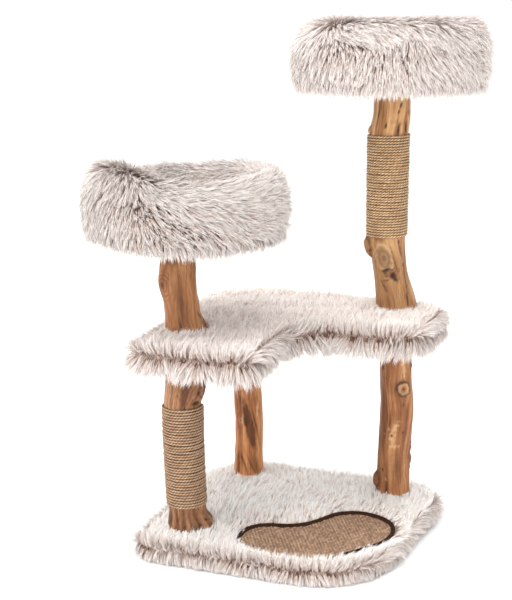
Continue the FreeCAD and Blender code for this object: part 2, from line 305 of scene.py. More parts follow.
def waves(points, size, seed, count=7):
    """Smooth noise from about -1 to 1, as a sum of sine waves about size long."""
    random = np.random.default_rng(seed)
    ways = random.normal(size=(count, points.shape[1]))
    ways *= (random.uniform(0.6, 1.6, count) / np.linalg.norm(ways, axis=1))[:, None]
    phases = random.uniform(0, 2 * math.pi, count)
    return np.sin(points @ ways.T * (2 * math.pi / size) + phases).sum(1) / math.sqrt(count)


def unit(vectors):
    return vectors / np.maximum(np.linalg.norm(vectors, axis=-1, keepdims=True), 1e-9)


def step_between(low, high, values):
    """0 below low, 1 above high, smooth between."""
    t = np.clip((values - low) / (high - low), 0, 1)
    return t * t * (3 - 2 * t)


# ================= materials =================

def plain(name, colour, roughness, **settings):
    """A material of one colour, with any other Principled sockets by name."""
    material = bpy.data.materials.new(name)
    material.use_nodes = True
    shader = material.node_tree.nodes["Principled BSDF"]
    shader.inputs["Base Color"].default_value = (*srgb(colour), 1)
    shader.inputs["Roughness"].default_value = roughness
    for key, value in settings.items():
        shader.inputs[key.replace("_", " ")].default_value = value
    return material


def srgb(colour):
    """A colour of 0 to 255 as a screen shows it, made linear."""
    return tuple((c / 255 / 12.92) if c <= 10 else ((c / 255 + 0.055) / 1.055) ** 2.4 for c in colour)


class Pattern:
    """Builds one node material: its methods add a node each and give its output."""

    def __init__(self, name, roughness=0.7, **settings):
        self.material = plain(name, (128, 128, 128), roughness, **settings)
        self.tree = self.material.node_tree
        self.shader = self.tree.nodes["Principled BSDF"]

    def add(self, kind, output=0, inputs=None, **settings):
        node = self.tree.nodes.new("ShaderNode" + kind)
        for key, value in settings.items():
            setattr(node, key, value)
        for key, value in (inputs or {}).items():
            if isinstance(value, bpy.types.NodeSocket):
                self.tree.links.new(value, node.inputs[key])
            else:
                node.inputs[key].default_value = value
        return node.outputs[output]

    def place(self, scale=(1, 1, 1)):
        """Coordinates fixed to the object, stretched by scale."""
        where = self.add("TexCoord", "Object")
        return self.add("Mapping", inputs={"Vector": where, "Scale": scale})

    def noise(self, vector, scale, detail=4.0, roughness=0.55, distortion=0.0):
        return self.add("TexNoise", "Fac", {
            "Vector": vector, "Scale": scale, "Detail": detail, "Roughness": roughness,
            "Distortion": distortion})

    def wave(self, vector, scale, distortion=0.0, direction="X"):
        return self.add("TexWave", "Fac", {"Vector": vector, "Scale": scale, "Distortion": distortion},
                        bands_direction=direction)

    def attribute(self, name, output="Fac"):
        return self.add("Attribute", output, attribute_name=name)

    def maths(self, operation, a, b=0.0, clamp=False):
        return self.add("Math", 0, {0: a, 1: b}, operation=operation, use_clamp=clamp)

    def band(self, value, low, high, to_low=0.0, to_high=1.0):
        """A value's range from low to high made into another range."""
        return self.add("MapRange", 0, {
            "Value": value, "From Min": low, "From Max": high, "To Min": to_low, "To Max": to_high})

    def ramp(self, value, stops):
        node = self.tree.nodes.new("ShaderNodeValToRGB")
        self.tree.links.new(value, node.inputs["Fac"])
        while len(node.color_ramp.elements) < len(stops):
            node.color_ramp.elements.new(0.5)
        for element, (at, colour) in zip(node.color_ramp.elements, stops):
            element.position = at
            element.color = (*srgb(colour), 1)
        return node.outputs["Color"]

    def mix(self, factor, a, b):
        node = self.tree.nodes.new("ShaderNodeMix")
        node.data_type = "RGBA"
        for socket, value in ((node.inputs["Factor"], factor), (node.inputs[6], a), (node.inputs[7], b)):
            if isinstance(value, bpy.types.NodeSocket):
                self.tree.links.new(value, socket)
            elif isinstance(value, tuple):
                socket.default_value = (*srgb(value), 1)
            else:
                socket.default_value = value
        return node.outputs[2]

    def colour(self, socket):
        self.tree.links.new(socket, self.shader.inputs["Base Color"])

    def rough(self, socket):
        self.tree.links.new(socket, self.shader.inputs["Roughness"])

    def bump(self, height, strength, distance):
        normal = self.add("Bump", "Normal", {"Height": height, "Strength": strength, "Distance": distance})
        self.tree.links.new(normal, self.shader.inputs["Normal"])
        return self.material


def wood_material(name, pale, middle, dark):
    """Peeled log: grain that bends round the marks, growth rings in the knots, stains, and painted shade in
    its cracks, gashes and hollows.
    """
    p = Pattern(name, 0.55, Specular_IOR_Level=0.3)
    grain = p.attribute("grain", "Vector")

    def drawn_out(scale, detail, length, distortion=0.0):
        where = p.add("Mapping", inputs={"Vector": grain, "Scale": (1, 1, length)})
        return p.noise(where, scale, detail, 0.58, distortion)

    broad, streak = drawn_out(24.0, 3.0, 0.2, 0.7), drawn_out(95.0, 4.0, 0.06, 0.8)
    fine = drawn_out(360.0, 5.0, 0.06)
    tone = p.maths("ADD", p.maths("MULTIPLY", broad, 0.5), p.maths("MULTIPLY", streak, 0.5))
    colour = p.ramp(tone, [(0.36, dark), (0.48, middle), (0.6, pale)])
    colour = p.mix(p.band(fine, 0.5, 0.72, 0.0, 0.6), colour, dark)
    colour = p.mix(p.maths("MULTIPLY", p.attribute("olive"), 0.85), colour, (166, 136, 98))
    knot = p.attribute("knot")
    uneven = p.maths("MULTIPLY", p.noise(p.place(), 70.0, 2.0), 5.0)
    ring = p.band(p.maths("SINE", p.maths("ADD", p.maths("MULTIPLY", knot, 26.0), uneven)), -0.3, 1.0)
    near = p.maths("MULTIPLY", ring, p.band(knot, 1.2, 0.7))
    colour = p.mix(p.maths("MULTIPLY", near, 0.6), colour, (104, 62, 36))
    colour = p.mix(p.maths("MULTIPLY", p.band(knot, 0.24, 0.1), 0.8), colour, (72, 40, 24))
    colour = p.mix(p.maths("MULTIPLY", p.attribute("pale"), 0.8, True), colour, (226, 188, 142))
    # The dark attribute holds the wood's stains and bark, and painted shade in gashes, hollows and broad
    # bands.
    stain_and_shade = p.maths("MULTIPLY", p.attribute("dark"), p.band(streak, 0.3, 0.6, 0.7, 1.0), True)
    colour = p.mix(stain_and_shade, colour, (88, 50, 28))
    blotch = p.band(p.noise(p.place((1, 1, 0.5)), 20.0, 4.0, 0.6, 1.2), 0.56, 0.74, 0.0, 0.4)
    colour = p.mix(blotch, colour, (118, 72, 42))
    # Painted shade: the darkest brown fills cracks, slits, bark crevices and the edges of knots and stubs.
    colour = p.mix(p.maths("MULTIPLY", p.attribute("crack_shade"), 0.95, True), colour, (50, 26, 15))
    p.colour(colour)
    p.rough(p.band(tone, 0.3, 0.7, 0.66, 0.46))
    height = p.maths("ADD", p.maths("MULTIPLY", fine, 0.4), p.maths("MULTIPLY", streak, 0.6))
    return p.bump(height, 0.7, 1.4 * MM)


def jute_material(name, fibre_size, colours, gap_shade_colour, sheen, worn=0.35):
    """Jute yarn: fibres, with one attribute that lightens the threads on top (painted light on a rope, the
    threads' own tone on the mat) and one that darkens the gaps with painted shade.
    """
    p = Pattern(name, 0.88, Sheen_Weight=sheen)
    fibre = p.noise(p.place(), fibre_size, 5.0, 0.68)
    colour = p.ramp(p.maths("ADD", p.maths("MULTIPLY", fibre, 0.55),
                            p.maths("MULTIPLY", p.attribute("light_and_tone"), 0.45)),
                    [(0.3, colours[0]), (0.5, colours[1]), (0.72, colours[2])])
    broad = p.noise(p.place(), 30.0, 3.0)
    colour = p.mix(p.band(broad, 0.42, 0.7, 0.0, worn), colour, colours[0])
    p.colour(p.mix(p.maths("MULTIPLY", p.attribute("groove_shade"), 0.92, True), colour, gap_shade_colour))
    return p.bump(fibre, 0.9, 0.7 * MM)


def felt_material(name, colour_a, colour_b):
    p = Pattern(name, 0.95, Specular_IOR_Level=0.1)
    fuzz = p.noise(p.place(), 900.0, 4.0, 0.75)
    broad = p.noise(p.place(), 60.0, 3.0)
    p.colour(p.mix(p.maths("MULTIPLY", fuzz, broad), colour_a, colour_b))
    return p.bump(fuzz, 0.9, 0.5 * MM)


def woven_material(name, light, dark, threads_per_metre):
    """A plain weave, from two sets of bands and a little slub."""
    p = Pattern(name, 0.88)
    where = p.place()
    across = p.wave(where, threads_per_metre / 20, 0.4, "X")
    along = p.wave(where, threads_per_metre / 20, 0.4, "Y")
    weave = p.maths("MULTIPLY", across, along)
    slub = p.noise(where, 140.0, 4.0)
    p.colour(p.mix(p.maths("ADD", p.maths("MULTIPLY", weave, 0.6), p.maths("MULTIPLY", slub, 0.4)),
                   dark, light))
    return p.bump(weave, 0.6, 0.4 * MM)


def board_material():
    """Particle board: pressed chips."""
    p = Pattern("particle_board", 0.8)
    where = p.place((1, 1, 2.0))
    chips = p.add("TexVoronoi", "Color", {"Vector": where, "Scale": 260.0})
    tone = p.add("SeparateColor", 0, {"Color": chips})
    p.colour(p.ramp(tone, [(0.0, (176, 140, 98)), (0.5, (205, 172, 128)), (1.0, (226, 198, 158))]))
    return p.bump(tone, 0.3, 0.3 * MM)


def steel_material():
    p = Pattern("zinc_steel", 0.35, Metallic=1.0)
    spangle = p.noise(p.place(), 300.0, 3.0)
    p.colour(p.ramp(spangle, [(0.3, (158, 158, 160)), (0.7, (205, 206, 208))]))
    p.rough(p.band(spangle, 0.3, 0.7, 0.28, 0.46))
    return p.material


def plastic_material():
    p = Pattern("moulded_plastic", 0.5)
    grain = p.noise(p.place(), 700.0, 2.0)
    p.colour(p.ramp(grain, [(0.3, (26, 26, 27)), (0.7, (40, 40, 42))]))
    return p.bump(grain, 0.2, 0.15 * MM)


def foam_material():
    p = Pattern("open_cell_foam", 0.9)
    cells = p.add("TexVoronoi", "Distance", {"Vector": p.place(), "Scale": 900.0})
    # Painted shade: darker in the middle of each cell, where the bump sinks into a pore.
    p.colour(p.ramp(cells, [(0.0, (178, 172, 158)), (0.6, (226, 222, 208))]))
    return p.bump(cells, 0.7, 0.4 * MM)


def skin_material():
    """The fur's backing, mottled in pale and darker greyish browns."""
    p = Pattern("fur_backing", 0.95)
    mottle = p.noise(p.place(), 130.0, 4.0, 0.7)
    p.colour(p.ramp(mottle, [(0.3, (140, 112, 100)), (0.6, (188, 168, 157)), (0.8, (210, 194, 184))]))
    return p.bump(mottle, 0.8, 1.0 * MM)


def plush_material():
    """Short cream plush, pressed into soft patches."""
    p = Pattern("short_plush", 0.95, Sheen_Weight=0.1)
    pile = p.noise(p.place(), 520.0, 5.0, 0.7)
    patch = p.noise(p.place(), 32.0, 3.0, 0.5, 0.8)
    tone = p.maths("ADD", p.maths("MULTIPLY", pile, 0.6), p.maths("MULTIPLY", patch, 0.4))
    p.colour(p.ramp(tone, [(0.3, (150, 130, 120)), (0.5, (190, 174, 165)), (0.68, (212, 200, 192))]))
    return p.bump(tone, 0.9, 1.6 * MM)


# Fur strands: one plain colour for each length of a strand, in three tones, so that the colours stay
# with the strands wherever the model goes.
# The dark root colour paints shade deep in the fur, at partings and in the beds' bowls, and darkens a few
# roots everywhere.
FUR_DARK_ROOT_AND_SHADE = (104, 72, 60)
FUR_LOW = (198, 178, 167)
FUR_TONES = (
    ((223, 211, 204), (237, 229, 224)),
    ((211, 197, 190), (230, 220, 214)),
    ((229, 219, 213), (242, 236, 232)),
)


def fur_materials(prefix, share):
    """A dark root, which paints shade deep in the fur, and a pale root, then the middles, then the tips, at a
    share of their brightness: above 1 a copy with painted light, below 1 a copy with painted shade.
    """
    settings = {"Sheen_Weight": 0.15, "Sheen_Roughness": 0.5, "Specular_IOR_Level": 0.2}
    result = [plain(prefix + "_dark_root_and_shade", FUR_DARK_ROOT_AND_SHADE, 0.8, **settings),
              plain(prefix + "_root_pale", FUR_LOW, 0.8, **settings)]
    for part, name in ((0, "middle"), (1, "tip")):
        for number, tones in enumerate(FUR_TONES):
            tone = [min(share * value, 252) for value in tones[part]]
            result.append(plain(f"{prefix}_{name}_{number + 1}", tone, 0.7, **settings))
    return result


# ================= fur =================

class Fur:
    """Tufts gathered from several surfaces, to be grown as strands."""

    def __init__(self):
        self.rows = []

    def plant(self, roots, normals, combs, length, rise, lie, shade):
        """Adds tufts: each leaves its root at rise degrees from the surface's normal, and bends over
        along its comb direction to lie degrees at the tip. shade is its chance of dark roots, which are
        painted shade, and what it has over 1 is the chance that they stay dark up to the strand's middle."""
        count = len(roots)
        columns = [roots, unit(normals), unit(combs)]
        for value in (length, rise, lie, shade):
            columns.append(np.broadcast_to(np.asarray(value, float), count)[:, None])
        self.rows.append(np.hstack(columns))

    def grow(self, name, seed, materials, replaced, floor=None):
        """Makes the strands of all the tufts, in pieces of a size that every format carries."""
        table = np.vstack(self.rows)
        parts = math.ceil(len(table) / TUFTS_IN_PIECE)
        for number, share in enumerate(np.array_split(table, parts)):
            self._piece(f"{name}_{number + 1}", share, np.random.default_rng(seed + number), materials,
                        replaced, floor)

    def _piece(self, name, table, random, materials, replaced, floor):
        tufts, each = len(table), STRANDS_IN_TUFT
        roots, normals, combs = table[:, 0:3], table[:, 3:6], table[:, 6:9]
        combs = unit(combs - normals * (combs * normals).sum(1, keepdims=True))
        length, rise, lie, shade = table[:, 9], table[:, 10], table[:, 11], table[:, 12]
        length = length * random.uniform(0.8, 1.15, tufts)
        turn = np.radians(random.normal(0, TUFT_TURN, tufts))
        sideways = np.cross(normals, combs)
        combs = combs * np.cos(turn)[:, None] + sideways * np.sin(turn)[:, None]
        sideways = np.cross(normals, combs)
        stations = np.array(STRAND_STATIONS)
        heart = self._curve(normals, combs, length, rise, lie, stations)

        spread = TUFT_SPREAD * np.sqrt(random.uniform(0, 1, (tufts, each)))
        angle = random.uniform(0, 2 * math.pi, (tufts, each))
        offset = (np.cos(angle)[..., None] * combs[:, None] + np.sin(angle)[..., None] * sideways[:, None])
        offset = offset * spread[..., None]
        gather = (random.uniform(0.35, 0.9, tufts)[:, None] * stations**1.2)[:, None, :, None]
        fly = random.normal(0, 1, (tufts, each, 3)) * (length[:, None, None] * STRAND_FLY)
        grown = random.uniform(0.74, 1.08, (tufts, each))[..., None, None]
        line = (roots[:, None, None] + offset[:, :, None] * (1 - gather)
                + heart[:, None] * grown + fly[:, :, None] * (stations**1.5)[None, None, :, None])
        if floor is not None:
            line[..., 2] = np.maximum(line[..., 2], floor + random.uniform(0, 2.0 * MM, line.shape[:3]))

        count = tufts * each
        line = line.reshape(count, len(stations), 3)
        facing = np.repeat(normals, each, axis=0)
        roll = random.normal(0, STRAND_ROLL, count)[:, None]
        facing = unit(facing + np.repeat(sideways, each, axis=0) * roll)
        ahead = unit(np.gradient(line, axis=1))
        across = unit(np.cross(ahead, facing[:, None]))
        width = STRAND_WIDTH * random.uniform(0.75, 1.25, count)
        half = (width[:, None] * np.array(STRAND_TAPER) / 2)[..., None]
        left = line[:, :-1] - across[:, :-1] * half
        right = line[:, :-1] + across[:, :-1] * half
        points = np.concatenate([np.stack([left, right], axis=2).reshape(count, -1, 3), line[:, -1:]],
                                axis=1)
        tone = random.integers(0, len(FUR_TONES), count)
        # Painted shade: dark roots, and where the shade is deepest, strands that stay dark up to their
        # middle.
        dark = random.uniform(0, 1, count) < np.repeat(shade, each)
        deep = dark & (random.uniform(0, 1, count) < np.repeat(shade - 1, each))
        strand_piece(name, points, tone, dark, deep, materials, replaced)

    @staticmethod
    def _curve(normals, combs, length, rise, lie, stations):
        """Points along each tuft's middle, from its root, as it bends from rise to lie."""
        fine = np.linspace(0, 1, CURVE_STEPS + 1)
        bend = np.radians(rise[:, None] + (lie - rise)[:, None] * fine**0.8)
        way = (np.cos(bend)[..., None] * normals[:, None] + np.sin(bend)[..., None] * combs[:, None])
        steps = (way[:, 1:] + way[:, :-1]) / 2 * (length[:, None, None] / CURVE_STEPS)
        line = np.concatenate([np.zeros((len(length), 1, 3)), np.cumsum(steps, axis=1)], axis=1)
        at = stations * CURVE_STEPS
        low = np.minimum(at.astype(int), CURVE_STEPS - 1)
        share = (at - low)[None, :, None]
        return line[:, low] * (1 - share) + line[:, low + 1] * share


def strand_piece(name, points, tone, dark, deep, materials, replaced):
    """One mesh of ribbons that taper to a point: two four-sided faces and a tip for each."""
    count, each = points.shape[:2]
    start = (np.arange(count) * each)[:, None]
    corners = start + np.array([[0, 1, 3, 2, 2, 3, 5, 4, 4, 5, 6]])
    totals = np.tile([4, 4, 3], count)
    starts = np.concatenate([[0], np.cumsum(totals)[:-1]])
    low = np.where(dark, 0, 1)
    middle = np.where(deep, 0, np.where(dark, 1, 2 + tone))
    tip = 2 + len(FUR_TONES) + tone
    slots = np.stack([low, middle, tip], axis=1)
    mesh = bpy.data.meshes.new(name)
    mesh.vertices.add(count * each)
    mesh.vertices.foreach_set("co", points.astype(np.float32).ravel())
    mesh.loops.add(corners.size)
    mesh.loops.foreach_set("vertex_index", corners.astype(np.int32).ravel())
    mesh.polygons.add(len(totals))
    mesh.polygons.foreach_set("loop_start", starts.astype(np.int32))
    mesh.polygons.foreach_set("loop_total", totals.astype(np.int32))
    for material in materials:
        mesh.materials.append(material)
    mesh.polygons.foreach_set("material_index", slots.astype(np.int32).ravel())
    mesh.polygons.foreach_set("use_smooth", [True] * len(totals))
    mesh.update(calc_edges=True)
    declare(new_object(name, mesh), replaced)


# ---- fur round a board ----

def post_circles(names, height, extra):
    """Where logs pass a height: centre x, centre y, and radius with an extra gap."""
    circles = []
    for name in names:
        x, y, radius = smooth_at(log_rings(name), np.array([height]))[0]
        circles.append((x, y, radius + extra))
    return circles


def outside_circles(points, circles):
    """Whether each point lies outside all of the circles."""
    keep = np.ones(len(points), bool)
    for x, y, radius in circles:
        keep &= np.hypot(points[:, 0] - x, points[:, 1] - y) > radius
    return keep


def along_loop(loop, random):
    """Places spread along an outline: index of the nearest point, outward and sideways directions."""
    size = np.linalg.norm(np.roll(loop, -1, axis=0) - loop, axis=1).mean()
    count = round(len(loop) * size / TUFT_SPACING)
    at = (np.arange(count) + random.uniform(0, 1, count)) * len(loop) / count
    index = at.astype(int) % len(loop)
    out = outward(loop)[index]
    return loop[index], out, np.stack([-out[:, 1], out[:, 0]], axis=1)


def patches(points, size, seed, start=0.1, full=0.9):
    """0 in most places and 1 in patches about size long."""
    return step_between(start, full, waves(points, size, seed))


def near_spots(places, spots):
    """How near each place is to a list of spots, each given as x, y, reach in mm and strength."""
    result = np.zeros(len(places))
    for x, y, reach, strength in spots:
        apart = np.hypot(places[:, 0] / MM - x, places[:, 1] / MM - y) / reach
        result = np.maximum(result, strength * hump(apart))
    return result


def side_tufts(fur, loop, low, seam, hem, length, spots, seed):
    """Fur on a board's upright edge, which hangs from the seam at the top of the edge to the hem. At the
    spots it parts from the fur above, and its dark roots there are painted shade in the parting."""
    random = np.random.default_rng(seed)
    rows = max(3, round((seam - low) / SIDE_ROW_STEP))
    for row in range(rows):
        place, out, tangent = along_loop(loop, random)
        count = len(place)
        height = low + (row + random.uniform(0.0, 1.0, count)) * (seam - low) / rows
        roots = np.hstack([place + out * SKIN, height[:, None]])
        far = (seam - height) / MM
        parting = near_spots(place, spots)
        sway = 0.40 * waves(place, 0.13, seed + 1) + 0.25 * waves(place, 0.035, seed + 2)
        combs = np.hstack([tangent * sway[:, None], np.full((count, 1), -1.0)])
        opened = np.clip(parting * 1.5, 0, 1)
        rise = np.minimum(16 + 2.2 * far, 46) * opened + 42 * (1 - opened) + random.normal(0, 6, count)
        lie = 78 + random.normal(0, 7, count)
        reach = np.clip((height - hem) * 1.1 + 6 * MM, 16 * MM, length)
        gap = patches(place, 0.022, seed + 3, -0.6, 0.5)
        # Painted shade: dark roots where the fur parts at the spots.
        shade = 0.03 + parting * gap * (far < 9)
        normals = np.hstack([out, np.zeros((count, 1))])
        fur.plant(roots, normals, combs, reach, rise, lie, np.clip(shade, 0, 1))


def edge_tufts(fur, loop, top, length, tip, spots, flow, seed):
    """Fur on the rounded top edge of a board. It follows flow, and rolls outwards where flow runs along
    the edge. Where flow runs inwards its tips stand tip degrees up from outwards at the spots. Elsewhere
    they fan out, and some hang, so that the edge stays closed."""
    random = np.random.default_rng(seed)
    for inset, tilt, fan, droop in EDGE_ROWS:
        place, out, tangent = along_loop(loop, random)
        count = len(place)
        lean = math.radians(tilt)
        drop = max(0.0, 2.0 - inset) * MM
        normal = np.hstack([out * math.sin(lean), np.full((count, 1), math.cos(lean))])
        roots = np.hstack([place - out * inset * MM, np.full((count, 1), top + SKIN - drop)])
        sway = 0.35 * waves(place, 0.13, seed + 1) + 0.2 * waves(place, 0.045, seed + 2)
        parting = near_spots(place, spots)
        flow = np.array(flow)
        against = step_between(0.1, 0.9, -(out @ flow))
        way = (flow * (0.35 + 0.65 * against)[:, None] + 0.9 * out * (1 - against)[:, None]
               + tangent * sway[:, None])
        combs = np.hstack([way, (against * 1.2 - 0.2)[:, None]])
        standing = np.clip(parting * 1.6, 0, 1)
        hangs = random.uniform(0, 1, count) < 0.45 * (1 - standing)
        inward = np.where(hangs, droop, tip * standing + fan * (1 - standing)) - 90 + tilt
        bend = against * inward + (1 - against) * (90 - tilt - droop)
        gap = patches(place, 0.022, seed + 3, -0.6, 0.5)
        # Painted shade: dark roots where the fur parts at the spots.
        shade = 0.03 + 0.9 * parting * gap * (inset < 2)
        rise = 12 + random.normal(0, 5, count)
        lie = bend + random.normal(0, 8, count)
        fur.plant(roots, normal, combs, length, rise, lie, np.clip(shade, 0, 1))


def distance_to(points, loop):
    """How far each point is from an outline, and the way there."""
    nearest = np.full(len(points), 1.0)
    away = np.zeros(points.shape)
    for place in loop:
        apart = np.hypot(*(points - place).T)
        closer = apart < nearest
        nearest[closer] = apart[closer]
        away[closer] = (points - place)[closer]
    return nearest, away


def top_tufts(fur, loop, top, lift, flow, posts, length, stand, seed, mat=None):
    """Fur on a board's top: it follows flow, stands up against the posts, and is shorter round a mat."""
    random = np.random.default_rng(seed)
    low, high = loop.min(0), loop.max(0)
    columns = np.arange(low[0], high[0], TUFT_SPACING)
    rows = np.arange(low[1], high[1], TOP_ROW_STEP)
    grid = np.stack(np.meshgrid(columns, rows), axis=-1).reshape(-1, 2)
    grid = grid + random.uniform(-0.5, 0.5, grid.shape) * TUFT_SPACING
    grid = grid[inside(grid, loop - outward(loop) * 5 * MM)]
    grid = grid[outside_circles(grid, posts)]
    if mat is not None:
        grid = grid[~inside(grid, mat + outward(mat) * 1.5 * MM)]
    turn = 0.22 * waves(grid, 0.28, seed + 1) + 0.14 * waves(grid, 0.09, seed + 2)
    way = np.arctan2(flow[1], flow[0]) + turn
    combs = np.stack([np.cos(way), np.sin(way)], axis=1)
    lengths = np.full(len(grid), length)
    if mat is not None:
        apart, away = distance_to(grid, mat[::2])
        near = hump(apart, 0, MAT_RUFF)
        turned = near * step_between(0.1, 0.5, unit(away)[:, 0])
        combs = unit(combs * (1 - turned)[:, None] + unit(away) * turned[:, None])
        lengths = lengths * (1 - 0.45 * near)
    count = len(grid)
    inset, _ = distance_to(grid, loop)
    height = top + SKIN + lift * step_between(0, BACKING_RISE, inset)
    roots = np.hstack([grid, height[:, None]])
    up = np.tile([0.0, 0.0, 1.0], (count, 1))
    by_post = np.zeros(count)
    for x, y, radius in posts:
        apart = np.hypot(grid[:, 0] - x, grid[:, 1] - y) - radius
        by_post = np.maximum(by_post, hump(apart, 0, POST_RUFF))
    lengths = lengths * (1 - 0.45 * by_post)
    rise = (stand[0] + 7 * waves(grid, 0.08, seed + 3)) * (1 - by_post) + 6 * by_post
    lie = (stand[1] + 6 * random.normal(0, 1, count)) * (1 - by_post) + 32 * by_post
    # Painted shade: dark roots in patches, for the dark strokes between the pile's strands.
    shade = 0.05 + 0.6 * patches(grid, 0.04, seed + 4, 0.3, 1.4)
    fur.plant(roots, up, np.hstack([combs, np.zeros((count, 1))]), lengths, rise, lie, shade)


def board_skin(name, loop, low, high, lift, material, replaced):
    """The backing cloth, wrapped over a board's padded top and round its edge, open underneath."""
    profile = [(SKIN, low), (SKIN, high - 3 * MM), (SKIN - 1 * MM, high), (-3 * MM, high + SKIN)]
    for inset in (9 * MM, 15 * MM, 21 * MM):
        profile.append((-inset, high + SKIN + lift * float(step_between(0, BACKING_RISE, inset))))
    rings = rings_round(loop, profile)
    piece(name, np.vstack(rings), closed_over(rings), material, replaced)


# ---- fur on a bed's padded ring ----

def profile_curve(corners, step=SECTION_STEP):
    """A smooth curve through a bed's section points, as radius and height, with its tangents."""
    corners = np.array(corners)
    knots = np.concatenate([[0], np.cumsum(np.linalg.norm(np.diff(corners, axis=0), axis=1))])
    table = np.column_stack([knots, corners, np.zeros(len(knots))])
    at = np.arange(0, knots[-1], step)
    line = smooth_at(table, at)[:, :2]
    ahead = unit(np.gradient(line, axis=0))
    return line, ahead


def bed_section(low, high):
    """The padded ring's section, as radius and height, for a bed whose fur cover fills a box."""
    outer = (high[0] - low[0]) / 2
    hem, crest = low[2], high[2] - CREST_DROP
    wall = crest - hem
    return [
        (outer - 52 * MM, hem + 9.5 * MM),
        (outer - 34 * MM, hem + 12 * MM),
        (outer - 23 * MM, hem + 24 * MM),
        (outer - 17 * MM, hem + 0.40 * wall),
        (outer - 17 * MM, hem + 0.62 * wall),
        (outer - 27 * MM, hem + 0.86 * wall),
        (outer - 44 * MM, crest - 2 * MM),
        (outer - 60 * MM, crest - 5 * MM),
        (outer - 72 * MM, crest - 24 * MM),
        (outer - 76 * MM, crest - 48 * MM),
        (outer - 77 * MM, hem + 34 * MM),
    ]


def combed(bearings, angles, at):
    """A comb direction from a table by bearing: its share down the wall and its share to the right."""
    angles = np.radians(angles)
    return np.stack([np.interp(at, bearings, np.cos(angles)), np.interp(at, bearings, np.sin(angles))],
                    axis=1)


def puff_at(look, relative, height, hem, crest):
    """How far a bed's padding stands up at bearings from the front: all of it at the crest, none at the
    hem."""
    full = np.interp(relative, look["bearings"], look["puff"]) * MM
    return full * np.clip((height - hem) / (crest - hem), 0, 1)


def from_front(bearing):
    """Bearings in radians as degrees right of the front, which faces the camera."""
    return np.degrees(np.angle(np.exp(1j * (bearing - math.radians(CAMERA_AZIMUTH - 90.0)))))


def reshape_ring(ring, look, centre, hem, crest, most):
    """Raises and sinks a ring's top as the bed's crest does. It rises by most at the most."""
    points = mesh_points(ring.data)
    relative = from_front(np.arctan2(points[:, 1] - centre[1], points[:, 0] - centre[0]))
    points[:, 2] += np.minimum(puff_at(look, relative, points[:, 2], hem, crest), most)
    ring.data.vertices.foreach_set("co", points.ravel())


